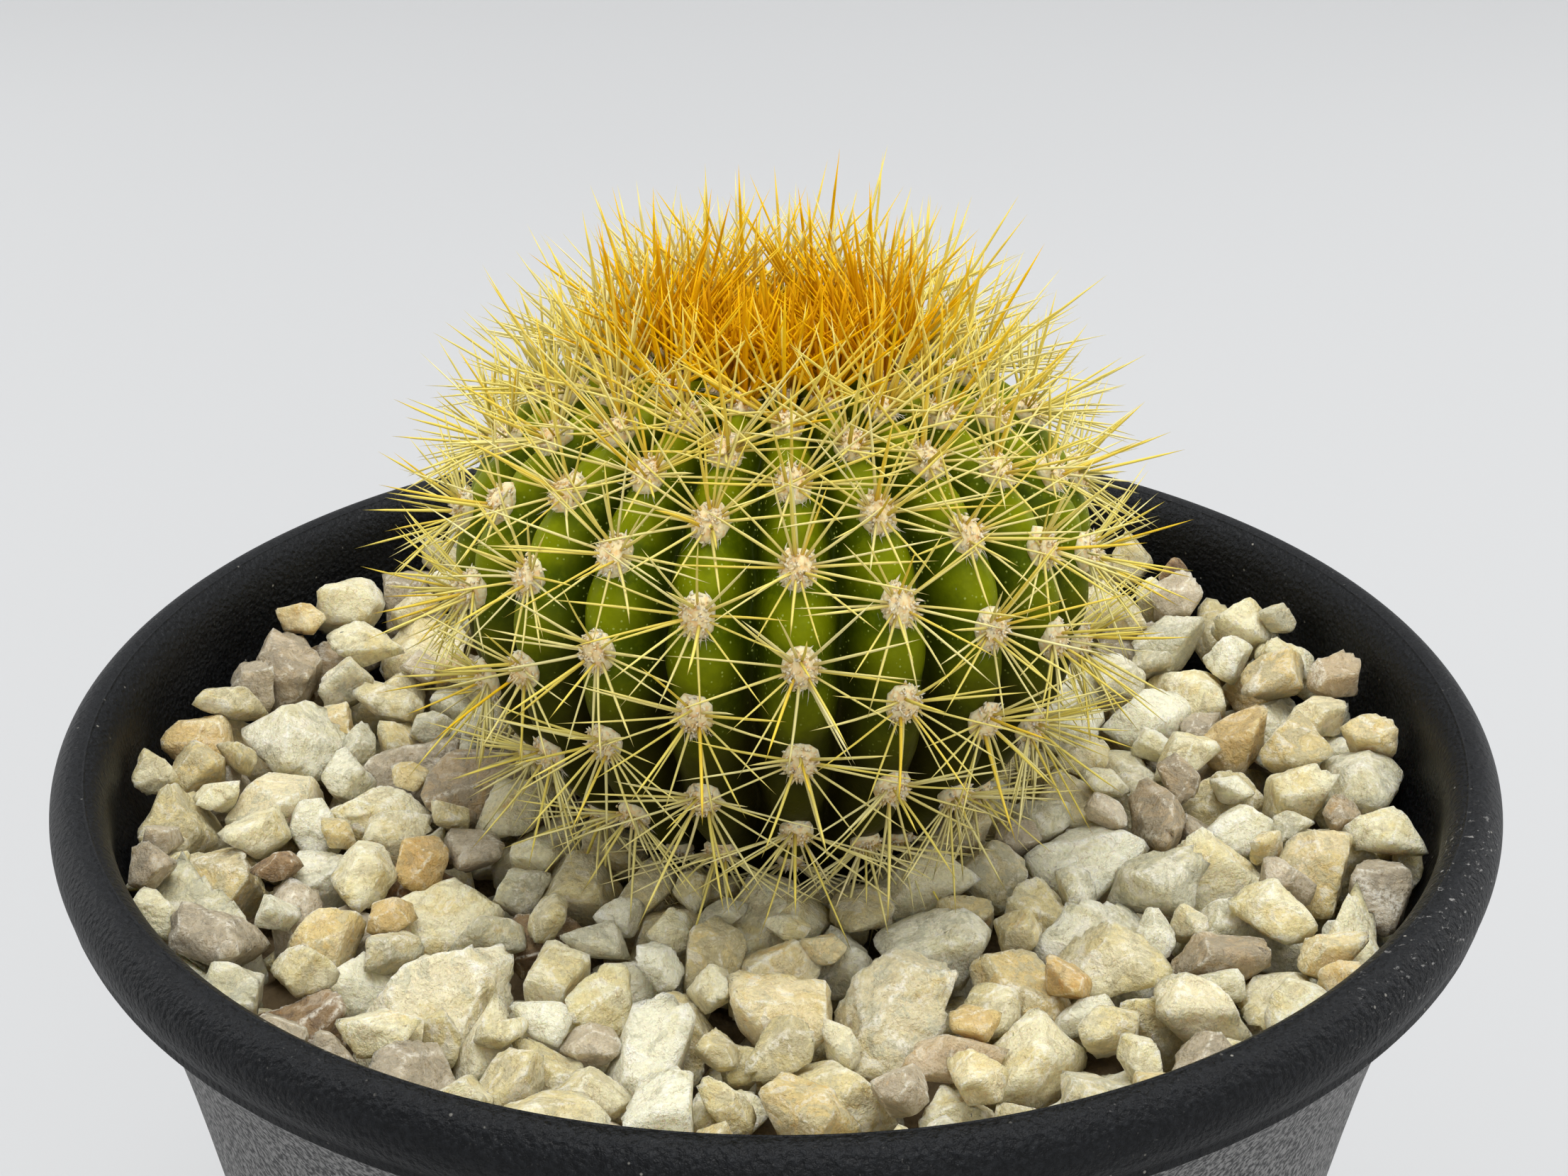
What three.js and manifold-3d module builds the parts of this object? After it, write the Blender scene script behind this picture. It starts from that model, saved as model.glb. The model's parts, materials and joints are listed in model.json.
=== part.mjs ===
// A small round cactus in a black plastic pot, millimetres, +Z up.
// The origin is the middle of the circle that the pot stands on, and the front is -Y.
import * as THREE from "three";
import { ConvexGeometry } from "three/addons/geometries/ConvexGeometry.js";
import { mergeVertices } from "three/addons/utils/BufferGeometryUtils.js";
import Module from "manifold-3d";

// Driving dimensions -------------------------------------------------------------------------
const GAP = 0.3; // clearance kept between touching pieces

const LIP_RADIUS = 45; // widest circle of the rolled lip
const LIP_Z = 77.7; // height of that circle
const POT_HEIGHT = 80; // top of the lip
const WALL = 1.4; // wall thickness
const WALL_TOP_RADIUS = 43.3; // outside of the wall where it meets the lip
const WALL_TOP_Z = LIP_Z - 3;
const WALL_FLARE = 2.5; // how far the wall flares out just under the lip
const WALL_FLARE_LENGTH = 5;
const WALL_TAPER = 0.15; // loss of radius for each millimetre down
const FOOT_HEIGHT = 3; // ring that the pot stands on
const FOOT_WIDTH = 3;
const FLOOR = 1.6; // thickness of the pot's floor
const DRAIN_RADIUS = 6;
const POT_SEGMENTS = 60;

const MIX_TOP = 60; // top of the potting mix
const BED_TOP = 68.6; // top of the packed gravel under the loose stones
const BED_BUMP = 0.5; // unevenness of that top
const BED_SEGMENTS = 48;

const RIBS = 21;
const FIRST_RIB_TURN = THREE.MathUtils.degToRad(4.3); // rib 1, from the front towards +X
const STEM_RADIUS = 19.4; // to the crests of the ribs
const STEM_MIDDLE = LIP_Z + 12.5; // height of the widest place
const STEM_UP = 13.5; // from there to the shoulder of the crown
const STEM_DOWN = 18.5; // and down to where the body draws in to its neck
const CROWN_DIMPLE = 1.6;
const CROWN_DIMPLE_RADIUS = 4.5;
const FURROW_PART = 0.14; // furrow depth, as a part of the radius
const NECK_RADIUS = 7.8;
const ROOT_TIP_Z = 44;
const STEPS_PER_RIB = 4;

const FIRST_AREOLE = 1; // the crown tuft covers the younger ones
const LAST_AREOLE_DISTANCE = 36.5;
const STAGGER = 10 / 21; // of the way to the next areole, from one rib to the next
const CUSHION_HALF_LENGTH = 0.9;
const CUSHION_WIDTH = 1.1;
const CUSHION_HEIGHT = 1.4;
const THREAD_WIDTH = 0.4; // band that joins the cushions of a rib
const THREAD_HEIGHT = 0.8;
const SPINE_LENGTH = 4;

// Materials ----------------------------------------------------------------------------------
const material = (color, roughness) =>
  new THREE.MeshStandardMaterial({ color, roughness, metalness: 0 });
const STONE_COLOURS = {
  cream: 0xe3dcbc,
  pale: 0xdadbc9,
  grey: 0xb5aca0,
  tan: 0xc9ac74,
  brown: 0x8a6f58,
};

// A closed surface from a grid of points: rows of equal length run round an axis, and the
// first and last rows each close on one point.
function closedGrid(bottom, rows, top) {
  const width = rows[0].length;
  const points = [bottom, ...rows.flat(), top];
  const last = points.length - 1;
  const index = [];
  const at = (row, column) => 1 + row * width + (column % width);
  for (let column = 0; column < width; column++) {
    index.push(0, at(0, column + 1), at(0, column));
    index.push(last, at(rows.length - 1, column), at(rows.length - 1, column + 1));
    for (let row = 0; row + 1 < rows.length; row++) {
      const [a, b] = [at(row, column), at(row, column + 1)];
      const [c, d] = [at(row + 1, column + 1), at(row + 1, column)];
      index.push(a, b, c, a, c, d);
    }
  }
  const geometry = new THREE.BufferGeometry().setFromPoints(points);
  geometry.setIndex(index);
  geometry.computeVertexNormals();
  return geometry;
}

const ring = (radius, z, segments) =>
  Array.from({ length: segments }, (_, i) => {
    const turn = (2 * Math.PI * i) / segments;
    return new THREE.Vector3(radius * Math.cos(turn), radius * Math.sin(turn), z);
  });

// A round solid from an outline of [radius, z] points that starts and ends on the axis.
const turned = (outline, segments) =>
  closedGrid(
    new THREE.Vector3(0, 0, outline[0][1]),
    outline.slice(1, -1).map(([radius, z]) => ring(radius, z, segments)),
    new THREE.Vector3(0, 0, outline.at(-1)[1]),
  );

// Points of an arc in the [radius, z] plane, angles in degrees from +radius towards +z.
function arc(radius, z, across, up, from, to, steps) {
  return Array.from({ length: steps + 1 }, (_, i) => {
    const angle = THREE.MathUtils.degToRad(from + ((to - from) * i) / steps);
    return [radius + across * Math.cos(angle), z + up * Math.sin(angle)];
  });
}

// Pot ----------------------------------------------------------------------------------------
function wallRadius(z) {
  const down = WALL_TOP_Z - z;
  return WALL_TOP_RADIUS - WALL_FLARE * (1 - Math.exp(-down / WALL_FLARE_LENGTH)) - WALL_TAPER * down;
}
const insideRadius = (z) => wallRadius(z) - WALL;

function solidOf(wasm, geometry) {
  const bare = geometry.clone();
  bare.deleteAttribute("normal");
  bare.deleteAttribute("uv");
  const merged = mergeVertices(bare);
  return new wasm.Manifold(
    new wasm.Mesh({
      numProp: 3,
      vertProperties: merged.attributes.position.array,
      triVerts: new Uint32Array(merged.index.array),
    }),
  );
}

function geometryOf(solid) {
  const { vertProperties, triVerts } = solid.getMesh();
  const geometry = new THREE.BufferGeometry();
  geometry.setAttribute("position", new THREE.BufferAttribute(vertProperties, 3));
  geometry.setIndex(new THREE.BufferAttribute(triVerts, 1));
  return geometry;
}

async function potGeometry() {
  const floorTop = FOOT_HEIGHT + FLOOR;
  const footRadius = wallRadius(0);
  const lipInside = insideRadius(WALL_TOP_Z - 1.5) + 0.2;
  const lipMiddle = (LIP_RADIUS + lipInside) / 2;
  const lipHalf = LIP_RADIUS - lipMiddle;
  const lip = [
    [WALL_TOP_RADIUS + 0.5, WALL_TOP_Z + 0.1],
    [LIP_RADIUS - 0.35, WALL_TOP_Z + 0.8],
    ...arc(lipMiddle, LIP_Z, lipHalf, POT_HEIGHT - LIP_Z, 0, 180, 8),
  ];
  const outside = [1.2, 12, 28, 44, 56, 64, 69, 72, WALL_TOP_Z].map((z) => [wallRadius(z), z]);
  const inside = [72, 68, 62, 50, 30, floorTop + 2].map((z) => [insideRadius(z), z]);
  const outline = [
    [0, FOOT_HEIGHT],
    [footRadius - FOOT_WIDTH - 1, FOOT_HEIGHT],
    [footRadius - FOOT_WIDTH, 0],
    [footRadius - 1, 0],
    ...outside,
    ...lip,
    ...inside,
    [insideRadius(floorTop) - 1.5, floorTop],
    [0, floorTop],
  ];
  const wasm = await Module();
  wasm.setup();
  const drain = new THREE.CylinderGeometry(DRAIN_RADIUS, DRAIN_RADIUS, 4 * FLOOR, 32);
  drain.rotateX(Math.PI / 2).translate(0, 0, FOOT_HEIGHT + FLOOR / 2);
  const pot = solidOf(wasm, turned(outline, POT_SEGMENTS));
  return geometryOf(pot.subtract(solidOf(wasm, drain)));
}

// Cactus stem --------------------------------------------------------------------------------
// One crest line from the neck, at turn -PI/2, to the crown, at turn PI/2: a flattened globe
// with a shallow dimple on top.
function crest(turn) {
  const up = turn > 0;
  const radius = STEM_RADIUS * Math.cos(turn) ** (up ? 0.92 : 0.85);
  const z = STEM_MIDDLE + (up ? STEM_UP : STEM_DOWN) * Math.sin(turn);
  const dimple = up ? CROWN_DIMPLE * Math.exp(-((radius / CROWN_DIMPLE_RADIUS) ** 2)) : 0;
  return new THREE.Vector2(radius, z - dimple);
}

const ribTurn = (rib) => FIRST_RIB_TURN + (2 * Math.PI * rib) / RIBS;

// A point at a radius, a turn from the front (-Y) towards +X, and a height.
const around = (radius, turn, z) =>
  new THREE.Vector3(radius * Math.sin(turn), -radius * Math.cos(turn), z);

function stemGeometry() {
  const steps = RIBS * STEPS_PER_RIB;
  const ribbed = (radius, z, furrow) =>
    Array.from({ length: steps }, (_, i) => {
      const place = (i % STEPS_PER_RIB) / STEPS_PER_RIB; // 0 on a crest, 0.5 in a furrow
      const depth = furrow * radius * (0.5 - 0.5 * Math.cos(2 * Math.PI * place)) ** 1.3;
      return around(radius - depth, ribTurn(i / STEPS_PER_RIB), z);
    });
  const root = [
    [2.4, ROOT_TIP_Z + 1.5],
    [5.2, 53],
    [7, MIX_TOP],
    [NECK_RADIUS, 67],
  ].map(([radius, z]) => ribbed(radius, z, 0));
  const turns = [
    ...Array.from({ length: 13 }, (_, i) => -1.12 + i * 0.18),
    ...[1.16, 1.26, 1.34, 1.41, 1.48],
  ];
  const body = turns.map((turn) => {
    const { x: radius, y: z } = crest(turn);
    return ribbed(radius, z, FURROW_PART * Math.min(1, (z - 70) / 5));
  });
  return closedGrid(around(0, 0, ROOT_TIP_Z), [...root, ...body], around(0, 0, crest(Math.PI / 2).y));
}

// Areoles and spines -------------------------------------------------------------------------
// Distance of areole n from the middle of the crown, along its rib: they lie closer near the top.
const areoleDistance = (n) => 2.6 + 2.9 * n + 0.27 * n * n;

// The crest line measured from the crown: a place for each distance, with its outward normal.
const crestLine = (() => {
  const turns = Array.from({ length: 400 }, (_, i) => Math.PI / 2 - i * 0.0068);
  let distance = 0;
  const marks = turns.map((turn, i) => {
    const place = crest(turn);
    if (i > 0) distance += place.distanceTo(crest(turns[i - 1]));
    return { distance, turn };
  });
  return (wanted) => {
    const { turn } = marks.find((mark) => mark.distance >= wanted);
    const place = crest(turn);
    const down = crest(turn - 0.01).sub(place).normalize();
    return { place, out: new THREE.Vector2(-down.y, down.x) };
  };
})();

// A point of one rib's own frame: distance down the crest, sideways, and out from the crest.
function onRib(rib, distance, sideways, outwards) {
  const { place, out } = crestLine(distance);
  const turn = ribTurn(rib);
  return around(place.x + out.x * outwards, turn, place.y + out.y * outwards).add(
    new THREE.Vector3(Math.cos(turn), Math.sin(turn), 0).multiplyScalar(sideways),
  );
}

// All areoles of one rib with their main spines: a thin band along the crest that swells to a
// cushion at each areole. Each cushion carries two spines on each side and one in its middle.
function spineRowGeometry(rib) {
  const first = FIRST_AREOLE + ((rib * STAGGER) % 1);
  const stations = [];
  for (let n = first; areoleDistance(n) < LAST_AREOLE_DISTANCE; n++) {
    const middle = areoleDistance(n);
    const room = (Math.PI * crestLine(middle).place.x) / RIBS; // half the way to the next rib
    const width = Math.min(CUSHION_WIDTH, 0.55 * room);
    const thread = Math.min(THREAD_WIDTH, 0.3 * room);
    const length = Math.min(CUSHION_HALF_LENGTH, 0.1 * middle + 0.3);
    const reach = Math.min(0.8 * room, 0.55 * SPINE_LENGTH);
    stations.push({ at: middle - length, width: thread, height: THREAD_HEIGHT });
    stations.push({ at: middle, width, height: CUSHION_HEIGHT, reach, length });
    stations.push({ at: middle + length, width: thread, height: THREAD_HEIGHT });
  }
  const points = [];
  const index = [];
  const add = (distance, sideways, outwards) =>
    points.push(onRib(rib, distance, sideways, GAP + outwards)) - 1;
  const corners = stations.map(({ at, width, height, reach }) => [
    add(at, -width, 0.15),
    add(at, width, 0.15),
    add(at, 0, reach ? SPINE_LENGTH : height),
  ]);
  const quad = (a, b, c, d) => index.push(a, b, c, a, c, d);
  const spine = (a, b, c, d, tip) => index.push(a, b, tip, b, c, tip, c, d, tip, d, a, tip);
  for (let i = 0; i + 1 < stations.length; i++) {
    const [left, right, top] = corners[i];
    const [nextLeft, nextRight, nextTop] = corners[i + 1];
    quad(left, right, nextRight, nextLeft);
    const cushion = stations[i].reach ? stations[i] : stations[i + 1];
    const joined = stations[i].reach || stations[i + 1].reach;
    if (!joined) {
      quad(right, top, nextTop, nextRight);
      quad(top, left, nextLeft, nextTop);
      continue;
    }
    const along = stations[i].reach ? cushion.length : -cushion.length;
    const tipAt = cushion.at + 1.6 * along;
    const tipOut = 0.62 * SPINE_LENGTH;
    spine(right, top, nextTop, nextRight, add(tipAt, cushion.reach, tipOut));
    spine(top, left, nextLeft, nextTop, add(tipAt, -cushion.reach, tipOut));
  }
  const [upper, lower] = [corners[0], corners.at(-1)];
  index.push(upper[0], upper[2], upper[1], lower[0], lower[1], lower[2]);
  const geometry = new THREE.BufferGeometry().setFromPoints(points);
  geometry.setIndex(index);
  geometry.computeVertexNormals();
  return geometry;
}

// The tuft in the middle of the crown: rings of spikes that lean outwards, on a thin pad that
// follows the dimple.
function crownGeometry() {
  const segments = 12;
  const radii = [1.1, 2, 2.8, 3.4];
  const shoulder = STEM_MIDDLE + STEM_UP + 0.5 * GAP;
  const dimple = (radius) => shoulder - CROWN_DIMPLE * Math.exp(-((radius / CROWN_DIMPLE_RADIUS) ** 2));
  const under = [1.3, 2.4, 3.3].map((radius) => ring(radius, dimple(radius) + GAP, segments));
  const over = radii.map((radius, row) =>
    Array.from({ length: segments }, (_, i) => {
      const spike = (i + row) % 2 === 0;
      const lean = spike ? 1.08 : 1;
      const turn = (2 * Math.PI * i) / segments;
      const z = dimple(radius) + (spike ? 6.2 - 0.5 * row : 1.6);
      return new THREE.Vector3(radius * lean * Math.cos(turn), radius * lean * Math.sin(turn), z);
    }),
  );
  return closedGrid(
    new THREE.Vector3(0, 0, dimple(0) + GAP),
    [...under, ...over.reverse()],
    new THREE.Vector3(0, 0, dimple(0) + 5),
  );
}

// Growing medium -----------------------------------------------------------------------------
function mixGeometry() {
  const floor = FOOT_HEIGHT + FLOOR + GAP;
  return turned(
    [
      [0, floor],
      [insideRadius(floor) - 3, floor],
      [insideRadius(10) - GAP - 0.1, 10],
      [insideRadius(35) - GAP - 0.1, 35],
      [insideRadius(MIX_TOP) - GAP - 0.1, MIX_TOP],
      [7 + 2 * GAP, MIX_TOP],
      [5.2 + 2 * GAP, 53],
      [2.4 + 2 * GAP, ROOT_TIP_Z + 1.2],
      [0, ROOT_TIP_Z - 2 * GAP],
    ],
    BED_SEGMENTS,
  );
}

// A packed layer of small gravel round the neck, with an uneven top.
function bedGeometry() {
  const floor = MIX_TOP + GAP;
  const topRadii = [38.2, 34, 29, 24, 19, 14, 10.5];
  const outline = [
    ...[floor, 64, BED_TOP - 1].map((z) => [insideRadius(z) - GAP - 0.15, z]),
    ...topRadii.map((radius) => [radius, BED_TOP]),
    [NECK_RADIUS + 2 * GAP, BED_TOP - 0.6],
    [NECK_RADIUS + 2 * GAP, floor],
  ];
  const rows = outline.map(([radius, z], row) =>
    ring(radius, z, BED_SEGMENTS).map((point, i) => {
      const onTop = row >= 3 && row < 3 + topRadii.length;
      const bump = onTop ? BED_BUMP * Math.sin(2.3 * i + 1.7 * row) * Math.cos(1.1 * i * row) : 0;
      return point.setZ(point.z + bump);
    }),
  );
  return closedTube(rows);
}

// A closed ring-shaped surface: rows run round the axis and the last row joins the first.
function closedTube(rows) {
  const width = rows[0].length;
  const index = [];
  rows.forEach((_, row) => {
    const next = (row + 1) % rows.length;
    for (let column = 0; column < width; column++) {
      const other = (column + 1) % width;
      const [a, b] = [row * width + column, row * width + other];
      const [c, d] = [next * width + other, next * width + column];
      index.push(a, b, c, a, c, d);
    }
  });
  const geometry = new THREE.BufferGeometry().setFromPoints(rows.flat());
  geometry.setIndex(index);
  geometry.computeVertexNormals();
  return geometry;
}

// Loose stones of the top layer: turn from the front towards +X in degrees, distance from the
// axis, length, width, height, turn of the length from +X in degrees, tilt towards the front in
// degrees, and colour.
const STONES = [
  [-39, 30.2, 9.2, 7.6, 5.6, 20, 24, "pale"],
  [15, 25.4, 9.0, 6.4, 5.4, 80, 26, "pale"],
  [-46, 36.6, 5.2, 4.4, 4.4, 0, 10, "brown"],
  [33, 26.4, 8.0, 5.0, 4.6, 125, 14, "cream"],
  [49, 21.2, 5.6, 5.2, 4.6, 30, 0, "cream"],
  [44, 33.0, 7.2, 4.2, 4.4, 15, 8, "cream"],
  [29, 36.0, 6.8, 4.6, 4.4, 20, 10, "cream"],
  [62, 32.2, 8.0, 4.8, 4.6, 5, 0, "pale"],
  [78, 36.0, 7.2, 5.2, 4.8, 25, 0, "cream"],
  [64, 37.8, 3.6, 3.4, 3.8, 0, 0, "pale"],
  [-22, 22.0, 6.4, 4.2, 3.8, 5, 0, "pale"],
  [0, 20.4, 6.0, 4.8, 4.6, 60, 12, "cream"],
  [-22, 32.6, 5.0, 4.2, 4.4, 100, 14, "cream"],
  [-12, 25.2, 5.6, 4.0, 4.2, 110, 10, "cream"],
  [-5, 31.6, 5.6, 4.4, 4.4, 80, 12, "cream"],
  [-14, 36.0, 5.0, 4.6, 4.2, 0, 10, "grey"],
  [17, 33.8, 5.6, 4.8, 4.4, 90, 12, "cream"],
  [7, 37.0, 5.6, 4.4, 4.2, 10, 6, "pale"],
  [-83, 25.8, 7.2, 5.0, 4.4, 10, 0, "cream"],
  [-72, 36.0, 7.0, 5.0, 4.8, 50, 0, "cream"],
  [-70, 29.8, 5.4, 4.8, 4.2, 0, 0, "pale"],
  [-63, 23.8, 6.6, 3.8, 3.6, 5, 0, "brown"],
  [-40, 20.6, 5.6, 5.0, 4.0, 0, 0, "brown"],
  [-57, 29.6, 5.0, 3.6, 4.0, 60, 0, "grey"],
  [-92, 37.2, 5.8, 4.8, 4.6, 20, 0, "grey"],
  [-103, 32.4, 5.8, 4.8, 4.4, 30, 0, "cream"],
  [-118, 36.8, 5.4, 4.6, 4.4, 0, 0, "grey"],
  [-140, 34.5, 6.0, 5.0, 4.4, 40, 0, "pale"],
  [89, 29.6, 6.0, 5.2, 4.4, 0, 0, "cream"],
  [104, 35.4, 7.2, 5.4, 4.6, 100, 0, "pale"],
  [128, 33.0, 6.4, 5.0, 4.4, 0, 0, "grey"],
  [152, 35.5, 6.0, 5.0, 4.4, 70, 0, "cream"],
  [176, 33.5, 6.6, 5.0, 4.4, 20, 0, "tan"],
];

// A small repeatable random source, one number from 0 to 1 for each call.
function randomSource(seed) {
  let state = seed;
  return () => {
    state = (state * 48271) % 2147483647;
    return state / 2147483647;
  };
}

// An angular chip: the convex hull of points spread evenly over a ball and moved in or out at
// random, then stretched to its three sizes.
function stoneGeometry(length, width, height, seed) {
  const random = randomSource(7919 * (seed + 3));
  const count = 16;
  const points = Array.from({ length: count }, (_, i) => {
    const z = 1 - (2 * i + 1) / count;
    const turn = i * 2.4 + 0.5 * random();
    const across = Math.sqrt(1 - z * z);
    const out = 0.57 * (0.86 + 0.14 * random());
    return new THREE.Vector3(across * Math.cos(turn), across * Math.sin(turn), z)
      .multiplyScalar(out)
      .multiply(new THREE.Vector3(length, width, height));
  });
  const hull = new ConvexGeometry(points);
  hull.deleteAttribute("normal");
  return mergeVertices(hull);
}

function stoneMesh([turn, distance, length, width, height, yaw, tilt, colour], i) {
  const { degToRad } = THREE.MathUtils;
  const geometry = stoneGeometry(length, width, height, i);
  geometry.rotateZ(degToRad(yaw)).rotateX(degToRad(tilt));
  geometry.computeBoundingBox();
  geometry.computeVertexNormals();
  const stone = new THREE.Mesh(geometry, material(STONE_COLOURS[colour], 0.7));
  const lowest = geometry.boundingBox.min.z;
  stone.position.copy(around(distance, degToRad(turn), BED_TOP + BED_BUMP + GAP - lowest));
  return stone;
}

// Assembly -----------------------------------------------------------------------------------
const plant = new THREE.Group();
function place(name, mesh) {
  mesh.name = name;
  plant.add(mesh);
}
const numbered = (name, i) => `${name}_${String(i + 1).padStart(2, "0")}`;

place("pot", new THREE.Mesh(await potGeometry(), material(0x1d1e20, 0.6)));
place("potting_mix", new THREE.Mesh(mixGeometry(), material(0x3b2b20, 0.95)));
place("gravel_bed", new THREE.Mesh(bedGeometry(), material(0xb9ad92, 0.9)));
STONES.forEach((stone, i) => place(numbered("gravel_stone", i), stoneMesh(stone, i)));
place("cactus_stem", new THREE.Mesh(stemGeometry(), material(0x4f7a16, 0.5)));
place("crown_spines", new THREE.Mesh(crownGeometry(), material(0xd69a1e, 0.6)));
for (let rib = 0; rib < RIBS; rib++)
  place(numbered("spine_row", rib), new THREE.Mesh(spineRowGeometry(rib), material(0xe3cf6f, 0.6)));

export default plant;
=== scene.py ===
"""A small round cactus in a black plastic pot, dressed with pale gravel.

Every piece is worked out in millimetres around the pot's axis, with +Z up and the front at -Y,
and goes into its mesh in metres. "Turn" is an angle about that axis from the front towards +X.
"""

import json
import math

import bpy
import numpy as np
from mathutils import Matrix, Vector


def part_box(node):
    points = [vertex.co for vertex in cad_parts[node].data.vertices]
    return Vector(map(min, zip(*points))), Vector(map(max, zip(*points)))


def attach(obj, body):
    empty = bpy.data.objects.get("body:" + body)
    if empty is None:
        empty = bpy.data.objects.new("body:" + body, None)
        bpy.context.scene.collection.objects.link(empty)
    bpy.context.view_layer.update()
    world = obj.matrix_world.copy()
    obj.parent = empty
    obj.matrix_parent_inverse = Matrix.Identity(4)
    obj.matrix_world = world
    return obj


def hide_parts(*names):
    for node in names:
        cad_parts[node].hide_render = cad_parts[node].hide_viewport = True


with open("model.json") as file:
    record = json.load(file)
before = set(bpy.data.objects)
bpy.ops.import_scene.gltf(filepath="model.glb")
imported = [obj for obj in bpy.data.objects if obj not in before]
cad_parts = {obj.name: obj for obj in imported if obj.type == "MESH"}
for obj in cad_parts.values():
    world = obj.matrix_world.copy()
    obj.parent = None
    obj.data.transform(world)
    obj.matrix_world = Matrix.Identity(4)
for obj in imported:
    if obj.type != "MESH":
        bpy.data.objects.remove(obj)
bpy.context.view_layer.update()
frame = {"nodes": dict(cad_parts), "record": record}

MM = 0.001
BAKE_MAP = "OFBake"


def box_of(node):
    """Lowest and highest corner of a CAD node in millimetres."""
    low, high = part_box(node)
    return np.array(low) / MM, np.array(high) / MM


# Sizes ----------------------------------------------------------------------------------------
LIP_RADIUS = box_of("pot")[1][0]
POT_HEIGHT = box_of("pot")[1][2]
LIP_RISE = 2.3
LIP_Z = POT_HEIGHT - LIP_RISE
WALL = 1.4
WALL_TOP_RADIUS = 43.7
WALL_TOP_Z = LIP_Z - 2.6
WALL_FLARE = 2.5
WALL_FLARE_LENGTH = 5
WALL_TAPER = 0.15
FOOT_HEIGHT = 3
FOOT_WIDTH = 3
FLOOR = 1.6
DRAIN_RADIUS = 6

RIBS = 21
FIRST_RIB_TURN = math.radians(4.3)
STEM_RADIUS = 19.4
STEM_MIDDLE = LIP_Z + 12.5
STEM_UP = 13.5
STEM_DOWN = 18.5
CROWN_DIMPLE = 2.8
CROWN_DIMPLE_RADIUS = 5.0
STAGGER = 10 / 21
AREOLE_START = 3.0
AREOLE_SPACING = 2.98
AREOLE_SPREAD = 0.27
LAST_AREOLE = 44.5
GRAVEL_LEVEL = LIP_Z - 4.5
GRAVEL_FOOT = 66.2
SHARPNESS = 34
CELL = 0.3
HALF_RASTER = 142
BLOCKED = 99
LOWER_STONES = 330
FILLING_STONES = 700
RIM_STONES = 130
GOLDEN_TURN = 2.39996


# Meshes ---------------------------------------------------------------------------------------
def outward(points, faces):
    """Whether the faces of a closed surface point out of it: then its volume, summed over the
    fans of its faces as corner . (corner x corner) / 6, is positive."""
    volume = 0.0
    for group in faces:
        for i in range(1, group.shape[1] - 1):
            a, b, c = points[group[:, 0]], points[group[:, i]], points[group[:, i + 1]]
            volume += np.einsum("ij,ij->", a, np.cross(b, c))
    return volume > 0


def make_piece(name, points, faces, finish, stands_for=(), corner_map=None, marks=None):
    """A closed mesh in the CAD frame. faces is a list of index arrays, three or four columns
    each; corner_map gives every face corner its place in the piece's own map, in that order;
    marks are numbers kept on its points."""
    if not outward(points, faces):
        faces = [group[:, ::-1] for group in faces]
        if corner_map is not None:
            corner_map = [group[:, ::-1] for group in corner_map]
    mesh = bpy.data.meshes.new(name)
    corners = np.concatenate([group.ravel() for group in faces]).astype(np.int32)
    sizes = np.concatenate([np.full(len(group), group.shape[1]) for group in faces])
    starts = np.concatenate([[0], np.cumsum(sizes)[:-1]]).astype(np.int32)
    mesh.vertices.add(len(points))
    mesh.vertices.foreach_set("co", (points * MM).astype(np.float32).ravel())
    mesh.loops.add(len(corners))
    mesh.loops.foreach_set("vertex_index", corners)
    mesh.polygons.add(len(sizes))
    mesh.polygons.foreach_set("loop_start", starts)
    mesh.polygons.foreach_set("use_smooth", np.ones(len(sizes), bool))
    mesh.update(calc_edges=True)
    if corner_map is not None:
        flat = np.concatenate([group.reshape(-1, 2) for group in corner_map])
        layer = mesh.uv_layers.new(name=BAKE_MAP)
        layer.uv.foreach_set("vector", flat.astype(np.float32).ravel())
    for mark, values in (marks or {}).items():
        kept = mesh.attributes.new(mark, "FLOAT", "POINT")
        kept.data.foreach_set("value", np.asarray(values, np.float32).ravel())
    mesh.materials.append(finish)
    piece = bpy.data.objects.new(name, mesh)
    bpy.context.scene.collection.objects.link(piece)
    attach(piece, "root")
    if stands_for:
        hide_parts(*stands_for)
    return piece


def grid_faces(rows, columns, close_rows):
    """Quads of a grid whose columns run round, with the corners' places from 0 to 1 each way."""
    last = rows if close_rows else rows - 1
    row, column = np.meshgrid(np.arange(last), np.arange(columns), indexing="ij")
    row, column = row.ravel(), column.ravel()
    down, right = (row + 1) % rows, (column + 1) % columns
    here, below = row * columns, down * columns
    quads = np.stack([here + column, here + right, below + right, below + column], 1)
    across = np.stack([column, column + 1, column + 1, column], 1) / columns
    along = np.stack([row, row, row + 1, row + 1], 1) / last
    return quads, np.stack([across, along], -1)


def capped_grid(grid, first, last):
    """A ball-like surface: a grid of rows round an axis, closed by one point at each end."""
    rows, columns = grid.shape[:2]
    quads, places = grid_faces(rows, columns, False)
    places[..., 1] = 0.01 + 0.98 * places[..., 1]
    points = np.concatenate([grid.reshape(-1, 3), [first, last]])
    here, there = np.arange(columns), (np.arange(columns) + 1) % columns
    top = np.stack([there, here, np.full(columns, rows * columns)], 1)
    end = (rows - 1) * columns
    bottom = np.stack([end + here, end + there, np.full(columns, rows * columns + 1)], 1)
    step = (here[:, None] + np.array([1, 0, 0.5])) / columns
    top_places = np.stack([step, np.tile([0.01, 0.01, 0.0], (columns, 1))], -1)
    step = (here[:, None] + np.array([0, 1, 0.5])) / columns
    bottom_places = np.stack([step, np.tile([0.99, 0.99, 1.0], (columns, 1))], -1)
    caps = np.concatenate([top, bottom])
    return points, [quads, caps], [places, np.concatenate([top_places, bottom_places])]


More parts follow.
